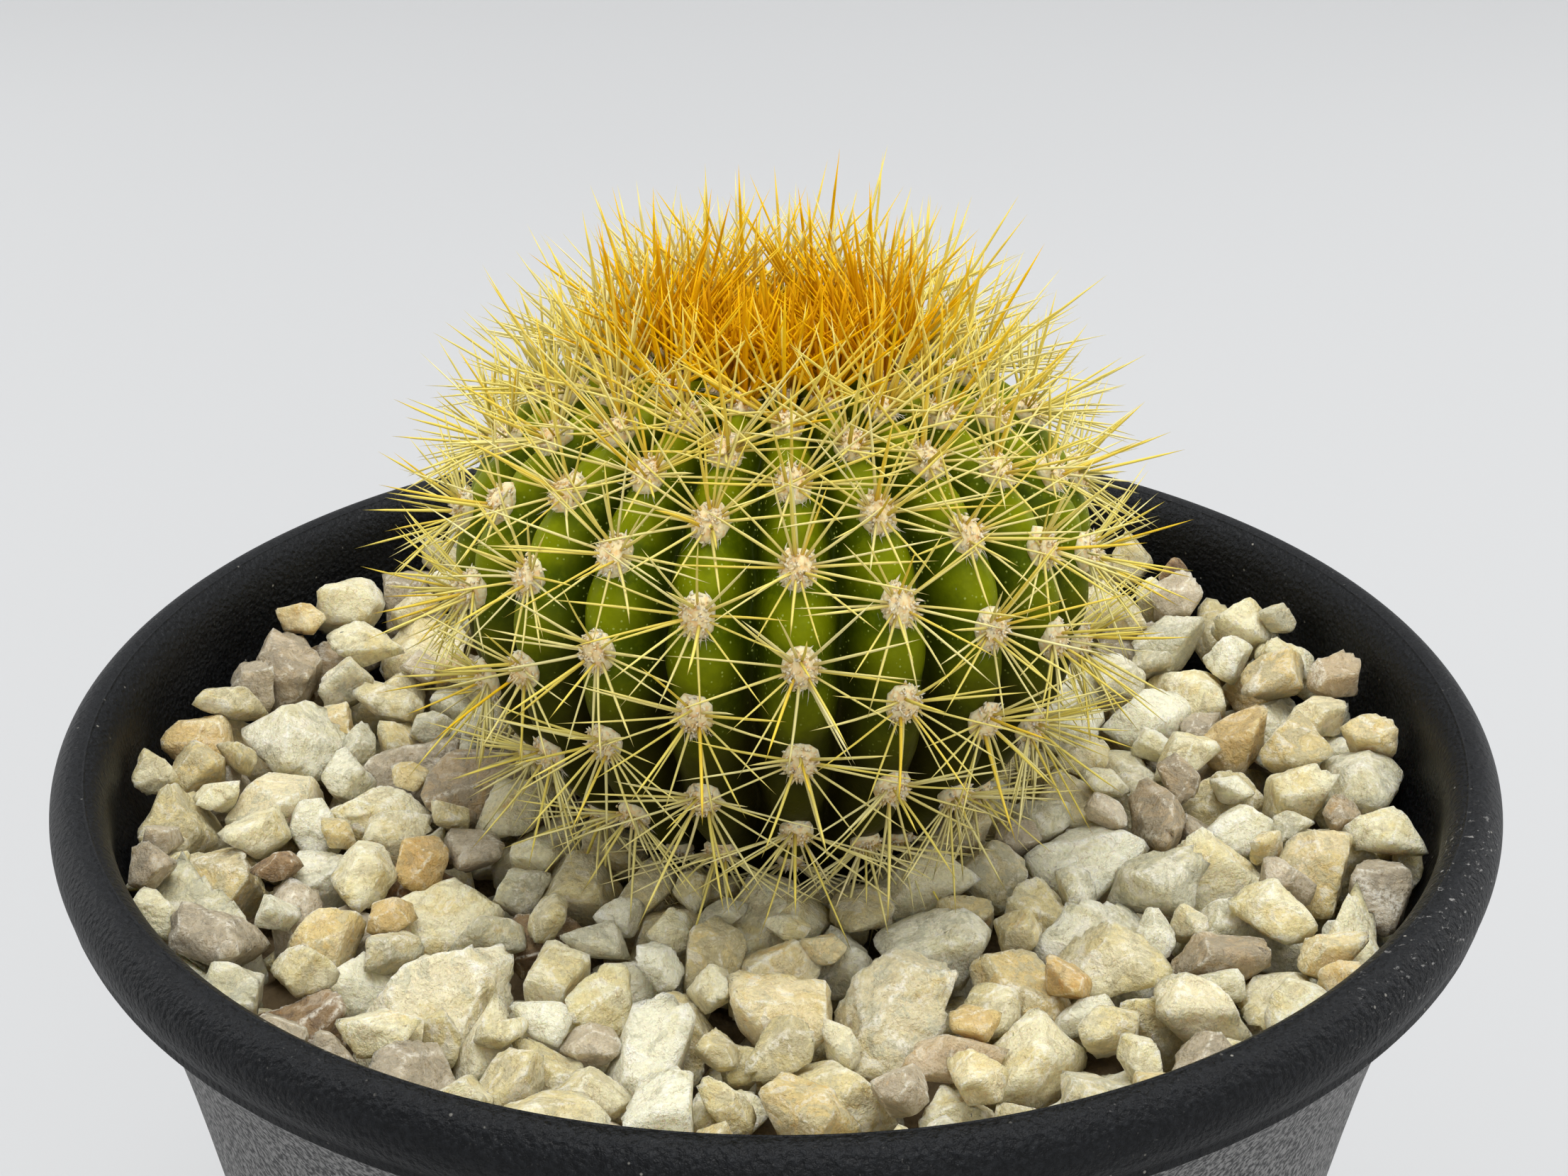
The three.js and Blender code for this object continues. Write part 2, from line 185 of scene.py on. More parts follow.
def around(radius, turn, z):
    """Points at a radius, a turn from the front towards +X, and a height."""
    radius, turn, z = np.broadcast_arrays(radius, turn, z)
    return np.stack([radius * np.sin(turn), -radius * np.cos(turn), z], -1)


def unit(vectors):
    """The same directions with length 1."""
    return vectors / np.linalg.norm(vectors, axis=-1, keepdims=True)


def smooth_step(value, low, high):
    """3t^2 - 2t^3 of the part t of the way from low to high, 0 before and 1 after."""
    part = np.clip((value - low) / (high - low), 0, 1)
    return part * part * (3 - 2 * part)


def scattered(cell, seed):
    """A random number from 0 to 1 for each whole-numbered cell."""
    mixed = (cell[..., 0] * 73856093) ^ (cell[..., 1] * 19349663) ^ (cell[..., 2] * 83492791)
    mixed = ((mixed ^ (seed * 668265263)) * 1274126177) & 0x7FFFFFFF
    mixed = ((mixed ^ (mixed >> 15)) * 2246822519) & 0x7FFFFFFF
    return ((mixed >> 8) & 0xFFFF) / 65535


def lumps(points, size, seed):
    """Smooth noise from -1 to 1: random values at the corners of cells of that size, blended
    between the corners by 3t^2 - 2t^3."""
    cell = points / size
    low = np.floor(cell).astype(np.int64)
    part = cell - low
    part = part * part * (3 - 2 * part)
    total = 0.0
    for corner in np.ndindex(2, 2, 2):
        value = scattered(low + np.array(corner), seed) * 2 - 1
        weight = np.prod(np.where(np.array(corner) == 1, part, 1 - part), axis=-1)
        total = total + weight * value
    return total


def ledges(points, size, seed):
    """Broken faces: space is split among centres, one at a random place in each cell of that
    size. A point belongs to its nearest centre and gets slope . (point - centre) / size, where
    each centre has a random slope from -1 to 1 each way."""
    cell = np.floor(points / size).astype(np.int64)
    nearest = np.full(points.shape[:-1], np.inf)
    value = np.zeros(points.shape[:-1])
    for step in np.ndindex(3, 3, 3):
        at = cell + np.array(step) - 1
        centre = np.stack([scattered(at, seed + k) for k in range(3)], -1)
        slope = np.stack([scattered(at, seed + k) for k in range(3, 6)], -1) * 2 - 1
        away = points - (at + centre) * size
        apart = (away**2).sum(-1)
        closer = apart < nearest
        nearest = np.where(closer, apart, nearest)
        value = np.where(closer, (slope * away).sum(-1) / size, value)
    return value


# Shader sums ----------------------------------------------------------------------------------
class Amount:
    """A shader socket in arithmetic: each operator adds its Math node."""

    def __init__(self, finish, socket):
        self.finish, self.socket = finish, socket

    def _sum(self, operation, first, second):
        return self.finish.node("Math", {"operation": operation}, {0: first, 1: second})

    def __add__(self, other):
        return self._sum("ADD", self, other)

    def __sub__(self, other):
        return self._sum("SUBTRACT", self, other)

    def __rsub__(self, other):
        return self._sum("SUBTRACT", other, self)

    def __mul__(self, other):
        return self._sum("MULTIPLY", self, other)

    __radd__ = __add__
    __rmul__ = __mul__


class Finish:
    """A material under construction."""

    def __init__(self, name):
        self.material = bpy.data.materials.new(name)
        self.material.use_nodes = True
        self.tree = self.material.node_tree
        self.tree.nodes.clear()

    def node(self, kind, settings=None, inputs=None, output=0):
        """Adds a node: its settings first, then the values or links of its sockets. Gives the
        wanted output."""
        made = self.tree.nodes.new("ShaderNode" + kind)
        for name, value in (settings or {}).items():
            if name == "stops":
                ramp = made.color_ramp.elements
                while len(ramp) < len(value):
                    ramp.new(1)
                for element, (place, colour) in zip(ramp, value):
                    element.position = place
                    element.color = (*colour, 1)
            else:
                setattr(made, name, value)
        for name, value in (inputs or {}).items():
            if isinstance(value, Amount):
                self.tree.links.new(value.socket, made.inputs[name])
            else:
                made.inputs[name].default_value = value
        return Amount(self, made.outputs[output]) if len(made.outputs) else made

    def place(self):
        """Where the point is on the object, in metres."""
        return self.node("TexCoord", output="Object")

    def stretched(self, place, x, y, z):
        """The place multiplied by a number each way."""
        return self.node("Mapping", {}, {"Vector": place, "Scale": (x, y, z)})

    def noise(self, place, size_mm, detail=3.0, rough=0.5, twist=0.0):
        """Cloudy pattern from 0 to 1 with spots of about that size."""
        inputs = {"Vector": place, "Scale": 1 / (size_mm * MM), "Detail": detail}
        inputs |= {"Roughness": rough, "Distortion": twist}
        return self.node("TexNoise", {}, inputs)

    def cells(self, place, size_mm, metric="EUCLIDEAN"):
        """Distance to the nearest of scattered points; CHEBYCHEV gives flat-sided pyramids."""
        inputs = {"Vector": place, "Scale": 1 / (size_mm * MM)}
        return self.node("TexVoronoi", {"distance": metric}, inputs, "Distance")

    def step(self, value, low, high):
        """0 below low, 1 above high, smooth between; high may be the lower of the two."""
        inputs = {"Value": value, "From Min": low, "From Max": high}
        return self.node("MapRange", {"interpolation_type": "SMOOTHSTEP"}, inputs)

    def lines(self, pattern, level, thin, wide):
        """Thin lines where a pattern passes a level: 1 up to thin from it, 0 beyond wide."""
        away = self.node("Math", {"operation": "ABSOLUTE"}, {0: pattern - level})
        return 1 - self.step(away, thin, wide)

    def blend(self, share, first, second):
        """Mixes two colours; a tuple is a fixed colour."""
        first, second = (
            (*colour, 1) if isinstance(colour, tuple) else colour for colour in (first, second)
        )
        return self.node("Mix", {"data_type": "RGBA"}, {0: share, 6: first, 7: second}, 2)

    def mark(self, name):
        """A number kept on the piece's points."""
        return self.node("Attribute", {"attribute_name": name}, output="Fac")

    def parts(self, vector):
        """The three parts of a vector."""
        split = self.node("SeparateXYZ", {}, {0: vector}).socket.node
        return [Amount(self, split.outputs[i]) for i in range(3)]

    def bump(self, height, depth_mm, strength=1.0, under=None):
        """The surface's direction with a relief, which may lie on another one."""
        inputs = {"Height": height, "Distance": depth_mm * MM, "Strength": strength}
        if under is not None:
            inputs["Normal"] = under
        return self.node("Bump", {}, inputs)

    def surface(self, colour, roughness, normal=None, **fixed):
        """Closes the material. fixed are constants of the shader, named with _ for a space."""
        inputs = {"Base Color": colour, "Roughness": roughness}
        inputs |= {name.replace("_", " "): value for name, value in fixed.items()}
        if normal is not None:
            inputs["Normal"] = normal
        shader = self.node("BsdfPrincipled", {}, inputs)
        self.node("OutputMaterial", {}, {"Surface": shader})
        return self.material


# Finishes -------------------------------------------------------------------------------------
def pot_finish():
    """Charcoal plastic with a moulded grain and a little dust. The wall under the lip is paler
    and speckled; light scuffs lie on the lip at the right front."""
    f = Finish("charcoal_plastic")
    place = f.place()
    x, y, _ = f.parts(place)
    wall = f.mark("wall")
    grain = f.noise(place, 0.3, 3, 0.6)
    pits = f.cells(place, 0.4)
    speckle = f.noise(f.stretched(place, 1, 1, 0.7), 0.26, 2, 0.6)
    cloudy = f.noise(place, 9, 3)
    raised = f.step(grain, 0.38, 0.72)
    lip_colour = f.blend(raised, (0.0012, 0.0016, 0.0022), (0.008, 0.009, 0.0105))
    pale = f.step(speckle, 0.38, 0.64)
    wall_colour = f.blend(pale, (0.04, 0.04, 0.041), (0.25, 0.247, 0.24))
    colour = f.blend(wall, lip_colour, wall_colour)
    dust = f.step(f.noise(place, 0.22, 2), 0.66, 0.8) * f.step(cloudy, 0.4, 0.65)
    colour = f.blend(dust * 0.3, colour, (0.26, 0.25, 0.23))
    specks = f.step(f.cells(place, 1.1), 0.1, 0.05) * f.step(f.noise(place, 5), 0.52, 0.6)
    colour = f.blend(specks * 0.6, colour, (0.4, 0.38, 0.33))
    corner = f.step(x, 0.026, 0.036) * f.step(y, -0.012, -0.018)
    scratch = f.step(f.noise(f.stretched(place, 0.6, 1, 2.5), 0.5, 5, 0.7), 0.6, 0.66)
    colour = f.blend(scratch * corner * 0.6, colour, (0.35, 0.34, 0.32))
    roughness = f.step(grain, 0.2, 0.8) * 0.14 + 0.4 + dust * 0.2 + wall * 0.12
    normal = f.bump(pits * 0.5 + grain, 0.17, 1.0)
    return f.surface(colour, roughness, normal, Specular_IOR_Level=0.18)


def soil_finish(name, dark, light):
    """Moist potting mix: crumbs of two browns with a few pale bits of grit. Under the gravel the
    same look, in its own browns, is painted shade between the stones.
    """
    f = Finish(name)
    place = f.place()
    crumbs = f.cells(place, 1.1)
    colour = f.blend(f.noise(place, 2.2, 5, 0.7), dark, light)
    grit = f.step(f.cells(place, 1.7), 0.22, 0.12)
    colour = f.blend(grit * 0.5, colour, (0.30, 0.25, 0.17))
    normal = f.bump(crumbs + f.noise(place, 0.5, 4), 0.5, 0.8)
    return f.surface(colour, f.noise(place, 0.8) * 0.2 + 0.72, normal)


def stone_finish(name, body, milky, glassy, stain, stained, milk, chalky):
    """Broken quartz-like stone: a waxy body with milky clouds, glassy and chalky patches, pale
    veins, fine brown cracks, rusty stains, pale edges that are partly wear and partly painted
    highlight, and dark specks. Each stone has its own shade. The last three numbers are how
    much is stained, milky and chalky."""
    f = Finish(name)
    place = f.place()
    shade, tone, edge = f.mark("shade"), f.mark("tone"), f.mark("edge")
    clouds = f.noise(place, 3.0, 4, 0.6, 0.5)
    patches = f.noise(place, 1.5, 6, 0.62, 0.6)
    fine = f.noise(place, 0.3, 4, 0.65)
    veins = f.lines(f.noise(place, 1.9, 4, 0.6, 0.9), 0.5, 0.004, 0.02)
    milkiness = clouds + (milk - 0.5) + (shade - 0.5) * 0.16
    colour = f.blend(f.step(milkiness, 0.44, 0.57), body, milky)
    colour = f.blend(f.step(tone, 0.6, 1.0) * 0.45, colour, stain)
    colour = f.blend(f.step(patches + (0.5 - shade) * 0.12, 0.53, 0.58) * 0.7, colour, glassy)
    chalk = f.step(patches + (fine - 0.5) * 0.16, 0.43, 0.38)
    colour = f.blend(chalk * chalky, colour, (0.82, 0.78, 0.66))
    colour = f.blend(veins * chalky * 0.3, colour, (0.80, 0.75, 0.62))
    cracks = f.lines(f.noise(place, 2.3, 5, 0.65, 0.4), 0.47, 0.003, 0.016)
    colour = f.blend(cracks * f.step(fine, 0.4, 0.6) * 0.5, colour, (0.26, 0.18, 0.09))
    rusty = f.noise(place, 2.6, 5, 0.7, 0.8) + tone * 0.1
    rust = f.step(rusty, 0.74 - 0.16 * stained, 0.82 - 0.12 * stained)
    colour = f.blend(rust * 0.75, colour, stain)
    # Pale edges where two faces meet: partly wear, partly a painted highlight on the edges.
    wear_and_edge_highlight = f.step(edge, 0.9, 0.99) * f.step(fine, 0.42, 0.56)
    colour = f.blend(wear_and_edge_highlight * 0.6, colour, (0.86, 0.82, 0.70))
    speckled = f.step(f.noise(place, 6, 2), 0.54, 0.6)
    specks = f.step(f.noise(place, 0.9, 4, 0.7), 0.69, 0.72) * speckled
    colour = f.blend(specks * 0.9, colour, (0.030, 0.036, 0.032))
    value = shade * 0.26 + 0.95 + (fine - 0.5) * 0.85
    bright = f.node("HueSaturation", {}, {"Value": value, "Color": colour})
    roughness = fine * 0.5 + chalk * 0.15 + 0.2
    leaning = f.node("Mapping", {}, {"Vector": place, "Rotation": (0.5, 0.4, 0.7)})
    normal = f.bump(f.cells(leaning, 1.3, "CHEBYCHEV"), 0.42, 0.6)
    normal = f.bump(patches + chalk * 0.12, 0.7, 0.7, normal)
    normal = f.bump(fine, 0.34, 1.0, normal)
    return f.surface(
        bright,
        roughness,
        normal,
        Subsurface_Weight=0.4,
        Subsurface_Radius=(1.0, 0.8, 0.5),
        Subsurface_Scale=0.0018,
        Specular_IOR_Level=0.35,
    )


def skin_finish():
    """Waxy green skin: yellow-green on the crests and dark in the furrows, where the dark is
    painted shade; a painted highlight of light yellow-green on the crests' swellings; near black
    towards the base, partly corky age and partly painted shade; with mottles, pale breathing pores,
    a few corky scars and silvery scratches."""
    f = Finish("cactus_skin")
    place = f.place()
    z = f.parts(place)[2]
    furrow, swell = f.mark("furrow"), f.mark("swell")
    patches = f.noise(place, 3.2, 4, 0.55)
    # Painted shade: the furrows between the ribs get a dark green and the crests a lighter one.
    crest = f.step(furrow + (patches - 0.5) * 0.35, 1.0, 0.22)
    colour = f.blend(crest, (0.022, 0.034, 0.0004), (0.104, 0.152, 0.0004))
    # Painted highlight: a light yellow-green on the crests' swellings, where the light from above
    # falls.
    colour = f.blend(crest * f.step(swell, 0.1, 0.9) * 0.8, colour, (0.235, 0.272, 0.0008))
    mottles = f.step(f.noise(place, 0.5, 4, 0.65), 0.46, 0.66)
    colour = f.blend(mottles * crest * 0.35, colour, (0.270, 0.325, 0.003))
    colour = f.blend(f.step(patches, 0.56, 0.68) * 0.35, colour, (0.050, 0.078, 0.001))
    # Near black low on the stem: partly corky age and partly painted shade under the body.
    low_on_stem = f.step(z + (patches - 0.5) * 0.008, (STEM_MIDDLE + 5) * MM, (STEM_MIDDLE - 6) * MM)
    colour = f.blend(low_on_stem * 0.9, colour, (0.018, 0.014, 0.003))
    pores = f.step(f.cells(place, 0.42), 0.2, 0.1)
    colour = f.blend(pores * (1 - low_on_stem) * 0.75, colour, (0.46, 0.54, 0.12))
    cork = f.step(f.noise(place, 2.1, 5, 0.6), 0.74, 0.78)
    colour = f.blend(cork * 0.8, colour, (0.30, 0.22, 0.12))
    scratch = f.step(f.noise(f.stretched(place, 2.2, 2.2, 0.6), 1.1, 5, 0.7, 0.5), 0.69, 0.73)
    colour = f.blend(scratch * 0.45, colour, (0.46, 0.50, 0.38))
    roughness = f.noise(place, 1.2) * 0.16 + 0.34 + cork * 0.3
    normal = f.bump(f.noise(place, 0.6, 3) + pores * 0.25, 0.1, 0.6)
    return f.surface(
        colour,
        roughness,
        normal,
        Subsurface_Weight=0.08,
        Subsurface_Radius=(0.7, 1.0, 0.05),
        Subsurface_Scale=0.001,
        Specular_IOR_Level=0.06,
    )


def needle_finish(name, tints, base, tip_share):
    """Horny spine, coloured by its own map: along it from the wool at 0 to the tip at 1, and
    across the map by tint, from straw at 0 to rust at 1. Pale spines have light streaks."""
    f = Finish(name)
    along, age, _ = f.parts(f.node("UVMap", {"uv_map": BAKE_MAP}))
    body = f.node("ValToRGB", {"stops": tints}, {0: age})
    paler = f.step(age, 0.7, 0.2)
    drawn_out = f.node("CombineXYZ", {}, {0: along * 0.9 * MM, 1: age * 30 * MM})
    stripes = f.noise(drawn_out, 0.09, 2)
    colour = f.blend(stripes * paler * 0.4, body, (0.92, 0.84, 0.40))
    colour = f.blend(f.step(along, 0.2, 0.02) * 0.4, colour, base)
    tips = f.blend(0.5, body, (0.36, 0.15, 0.004))
    colour = f.blend(f.step(along, 0.6, 1.0) * tip_share, colour, tips)
    return f.surface(colour, stripes * 0.1 + 0.5, None, Specular_IOR_Level=0.03)


def wool_finish():
    """Felt of the areoles: pinkish cream, whiter in the fringe and rusty at the spines' feet, with
    painted orange-brown shade between its grains.
    """
    f = Finish("areole_wool")
    along, age, _ = f.parts(f.node("UVMap", {"uv_map": BAKE_MAP}))
    stops = [
        (0.0, (1.0, 0.96, 0.84)),
        (0.3, (1.0, 0.86, 0.56)),
        (0.6, (1.0, 0.76, 0.40)),
        (1.0, (0.80, 0.42, 0.12)),
    ]
    body = f.node("ValToRGB", {"stops": stops}, {0: age})
    grains = f.cells(f.place(), 0.26)
    # Painted shade: orange-brown in the gaps between the felt's grains.
    colour = f.blend(f.step(grains, 0.5, 0.8) * 0.55, body, (0.94, 0.55, 0.20))
    return f.surface(
        colour,
        along * 0.1 + 0.8,
        f.bump(1 - grains, 0.1, 0.5),
        Specular_IOR_Level=0.1,
        Subsurface_Weight=0.5,
        Subsurface_Radius=(1.0, 0.8, 0.55),
        Subsurface_Scale=0.0004,
    )


# Pot ------------------------------------------------------------------------------------------
def wall_radius(z):
    """Outside of the wall: it flares by an exponential just under the lip and tapers below."""
    down = WALL_TOP_Z - z
    flare = WALL_FLARE * (1 - np.exp(-down / WALL_FLARE_LENGTH))
    return WALL_TOP_RADIUS - flare - WALL_TAPER * down


def inside_radius(z):
    """Inside of the wall."""
    return wall_radius(z) - WALL


def pot_outline():
    """Closed outline of the wall as [radius, height] rows: out under the foot, up the wall, over
    the rolled lip, down the inside and along the floor to the drain hole. The lip is an ellipse
    with a raised parting line on its top. Also gives the number of rows below the lip."""
    foot = wall_radius(0.0)
    top = FOOT_HEIGHT + FLOOR
    under = [
        (DRAIN_RADIUS + 0.2, FOOT_HEIGHT),
        (12, FOOT_HEIGHT),
        (18, FOOT_HEIGHT),
        (foot - FOOT_WIDTH - 1, FOOT_HEIGHT),
        (foot - FOOT_WIDTH - 0.7, FOOT_HEIGHT - 0.4),
        (foot - FOOT_WIDTH - 0.2, 0.4),
        (foot - FOOT_WIDTH + 0.2, 0),
        (foot - 1.0, 0),
        (foot - 0.4, 0.25),
        (foot - 0.1, 0.8),
    ]
    heights = np.concatenate([np.linspace(1.6, 58, 15), np.linspace(61, WALL_TOP_Z - 0.15, 20)])
    wall = np.stack([wall_radius(heights), heights], 1)
    inner = inside_radius(WALL_TOP_Z - 1.5) + 0.2
    middle, half = (LIP_RADIUS + inner) / 2, (LIP_RADIUS - inner) / 2
    parting = 108
    near_parting = np.linspace(parting - 8, parting + 8, 13)
    turns = np.concatenate([np.linspace(-38, 98, 30), near_parting, np.linspace(120, 180, 12)])
    angle = np.radians(turns)
    ridge = 0.07 * np.exp(-(((turns - parting) / 1.9) ** 2))
    lip = np.stack(
        [
            middle + (half + ridge) * np.cos(angle),
            LIP_Z + (LIP_RISE + ridge) * np.sin(angle),
        ],
        1,
    )
    tuck = [(WALL_TOP_RADIUS + 0.1, WALL_TOP_Z + 0.1), (WALL_TOP_RADIUS + 0.6, WALL_TOP_Z + 0.35)]
    tuck += [(WALL_TOP_RADIUS + 1.0, WALL_TOP_Z + 0.75)]
    down = np.array([76.4, 74.5, 72, 70, 67.5, 64, 58, 48, 38, 28, 18, top + 2.2])
    inside = np.stack([np.minimum(inside_radius(down), inner), down], 1)
    floor = [
        (inside_radius(top) - 0.5, top + 0.7),
        (inside_radius(top) - 1.6, top),
        (18, top),
        (11, top),
        (DRAIN_RADIUS + 0.2, top),
        (DRAIN_RADIUS, top - 0.25),
        (DRAIN_RADIUS, FOOT_HEIGHT + 0.25),
    ]
    return np.concatenate([under, wall, tuck, lip, inside, floor]), len(under) + len(wall)


def make_pot(finish):
    """The outline carried round the axis. It wavers by a tenth of a millimetre, and the lip's
    lower edge is slightly ragged, as moulded plastic is."""
    outline, wall_rows = pot_outline()
    turn = np.linspace(0, 2 * np.pi, 300, endpoint=False)
    radius, z = outline[:, :1], outline[:, 1:]
    points = around(radius, turn[None], z)
    waver = 0.1 * np.sin(2 * turn + 0.6) + 0.06 * np.sin(3 * turn + 2.0) + 0.03 * np.sin(7 * turn)
    high = smooth_step(z, 40, 74)
    edge = np.exp(-(((z - WALL_TOP_Z - 0.3) / 0.35) ** 2)) * (radius > WALL_TOP_RADIUS - 0.2)
    level = points * [1, 1, 0]
    ragged = lumps(level, 0.9, 3) * 0.12 + lumps(level, 2.7, 4) * 0.1
    radius = radius + high * waver[None] + edge * ragged * 0.7
    points = around(radius, turn[None], z + edge * ragged)
    quads, places = grid_faces(len(outline), len(turn), True)
    wall = np.repeat(np.arange(len(outline)) < wall_rows, len(turn))
    points, marks = points.reshape(-1, 3), {"wall": wall}
    make_piece("pot_shell", points, [quads], finish, ["pot"], [places], marks)


# Cactus stem ----------------------------------------------------------------------------------
def crest_table():
    """The crest line from the middle of the crown to the neck: distance along it, radius, height,
    and its outward direction."""
    turn = np.linspace(np.pi / 2, -1.5, 6000)
    up = turn > 0
    radius = STEM_RADIUS * np.cos(turn) ** np.where(up, 0.92, 0.85)
    z = STEM_MIDDLE + np.where(up, STEM_UP, STEM_DOWN) * np.sin(turn)
    z = z - up * CROWN_DIMPLE * np.exp(-((radius / CROWN_DIMPLE_RADIUS) ** 2))
    distance = np.concatenate([[0], np.cumsum(np.hypot(np.diff(radius), np.diff(z)))])
    slope_r, slope_z = np.gradient(radius, distance), np.gradient(z, distance)
    return distance, radius, z, -slope_z, slope_r


CREST = crest_table()


def crest_at(distance):
    """Radius, height and outward direction of the crest line at that distance from the crown."""
    radius, z, out_r, out_z = (np.interp(distance, CREST[0], column) for column in CREST[1:])
    size = np.hypot(out_r, out_z)
    return radius, z, out_r / size, out_z / size


def areole_distance(n):
    """Distance down the crest of areole n: the spacing grows steadily from the crown."""
    return AREOLE_START + AREOLE_SPACING * n + AREOLE_SPREAD * n * n


def areole_number(distance):
    """The inverse: which areole, with its fraction, lies at a distance down the crest."""
    root = np.sqrt(AREOLE_SPACING**2 + 4 * AREOLE_SPREAD * (distance - AREOLE_START))
    return (-AREOLE_SPACING + root) / (2 * AREOLE_SPREAD)


def rib_start(rib):
    """How far the areoles of a rib are shifted down, as a part of their spacing."""
    return (np.mod(rib, RIBS) * STAGGER) % 1


def skin_relief(distance, turn):
    """Height of the skin over the crest line. Each rib is a hump that falls off as the 2.2nd
    power of the distance from its crest. Between two areoles it swells upwards and sideways. The
    highest of the three nearest humps counts, with the furrow between them slightly rounded."""
    share = (turn - FIRST_RIB_TURN) * RIBS / (2 * np.pi)
    nearest = np.round(share)
    radius = crest_at(distance)[0]
    depth = 0.165 * radius * smooth_step(distance, 1.5, 8)
    humps, swells, acrosses = [], [], []
    for side in (-1, 0, 1):
        rib = nearest + side
        across = 2 * (share - rib)
        stage = np.mod(areole_number(distance) - rib_start(rib), 1)
        swell = 0.5 - 0.5 * np.cos(2 * np.pi * stage**1.25)
        width = 0.96 + 0.08 * swell
        lift = 0.18 * swell * smooth_step(distance, 4, 12)
        humps.append(lift - depth * np.abs(across / width) ** 2.2)
        swells.append(swell)
        acrosses.append(np.abs(across))
    humps, swells, acrosses = np.array(humps), np.array(swells), np.array(acrosses)
    top = humps.max(0)
    softness = 0.02 + 0.008 * radius
    relief = top + softness * np.log(np.exp((humps - top) / softness).sum(0))
    winner = humps.argmax(0)[None]
    furrow = np.take_along_axis(acrosses, winner, 0)[0]
    swell = np.take_along_axis(swells, winner, 0)[0]
    return relief, furrow, swell


def make_stem(finish):
    """The crest line carried round the axis with the ribs' relief on its outward direction, and
    a smooth root neck under it."""
    distance = np.concatenate([[0.3], np.linspace(0.7, 48.5, 176)])
    turn = np.linspace(0, 2 * np.pi, RIBS * 22, endpoint=False) + FIRST_RIB_TURN
    radius, z, out_r, out_z = (column[:, None] for column in crest_at(distance))
    relief, furrow, swell = skin_relief(distance[:, None], turn[None])
    body = around(radius + out_r * relief, turn[None], z + out_z * relief)
    body = body + 0.05 * lumps(body, 1.6, 11)[..., None] * unit(body - [0, 0, STEM_MIDDLE])
    neck_radius = np.array([7.6, 7.2, 6.4, 5.2, 3.8, 2.4])[:, None]
    neck_z = np.array([70.5, 66, 60, 54, 49, 45.5])[:, None]
    neck = around(neck_radius, turn[None], neck_z)
    grid = np.concatenate([body, neck])
    crown, root_end = around(0.0, 0.0, crest_at(0)[1]), around(0.0, 0.0, 44.0)
    points, faces, places = capped_grid(grid, crown, root_end)
    blank = np.ones(neck.shape[:2])
    marks = {
        "furrow": np.append(np.concatenate([furrow, blank]), [0, 1]),
        "swell": np.append(np.concatenate([swell, 0 * blank]), [0, 0]),
    }
    make_piece("stem_skin", points, faces, finish, ["cactus_stem"], places, marks)


# Needles and wool -----------------------------------------------------------------------------
def needles(foot, way, length, radius, bend, age, sides=4, steps=4):
    """Tapered needles: a line from each foot, way * length * s + bend * s^2 with s from 0 to 1,
    and round it rings of radius * (1 - 0.35 s) * sqrt(1 - s^5), with a point at the tip and one at
    the foot. Every argument but the last two is an array with one entry for each needle. Returns
    points, faces, and their places in the needle map."""
    along = np.linspace(0, 1, steps + 1)
    centre = foot[:, None] + way[:, None] * (length[:, None] * along)[..., None]
    centre = centre + bend[:, None] * (along**2)[None, :, None]
    side = unit(np.cross(way, np.where(np.abs(way[:, 2:]) < 0.9, [0.0, 0, 1], [1.0, 0, 0])))
    other = np.cross(way, side)
    angle = 2 * np.pi * np.arange(sides) / sides
    ring = np.cos(angle)[:, None] * side[:, None] + np.sin(angle)[:, None] * other[:, None]
    taper = (1 - 0.35 * along) * np.sqrt(1 - along**5)
    width = (radius[:, None] * taper[None])[..., None, None]
    rings = centre[:, :-1, None] + width[:, :-1] * ring[:, None]
    count, per = len(foot), steps * sides + 2
    points = np.concatenate([rings.reshape(count, -1, 3), centre[:, -1:], foot[:, None]], 1)
    quads, _ = grid_faces(steps, sides, False)
    column = np.arange(sides)
    right, end = (column + 1) % sides, (steps - 1) * sides
    tips = np.stack([end + column, end + right, np.full(sides, per - 2)], 1)
    feet = np.stack([right, column, np.full(sides, per - 1)], 1)
    start = per * np.arange(count)[:, None, None]
    faces = [(start + quads).reshape(-1, 4), (start + np.concatenate([tips, feet])).reshape(-1, 3)]
    across = np.append(np.tile(np.arange(sides) / (sides - 1), steps), [0.5, 0.5])
    u = np.append(np.repeat(0.03 + 0.97 * along[:-1], sides), [1, 0])
    v = 0.01 + 0.95 * age[:, None] + 0.03 * across
    places = np.stack([np.broadcast_to(u, v.shape), v], -1).reshape(-1, 2)
    return points.reshape(-1, 3), faces, places


def joined(batches):
    """Several results of needles() or lists of the same form as one."""
    points, faces, places, first = [], [[], []], [], 0
    for batch_points, batch_faces, batch_places in batches:
        for kind in (0, 1):
            faces[kind].append(batch_faces[kind] + first)
        first += len(batch_points)
        points.append(batch_points)
        places.append(batch_places)
    return np.concatenate(points), [np.concatenate(kind) for kind in faces], np.concatenate(places)


def make_needle_piece(name, needle_set, finish, stands_for=()):
    """One piece out of what needles() or joined() gives."""
    points, faces, places = needle_set
    corner_places = [places[group] for group in faces]
    make_piece(name, points, faces, finish, stands_for, corner_places)


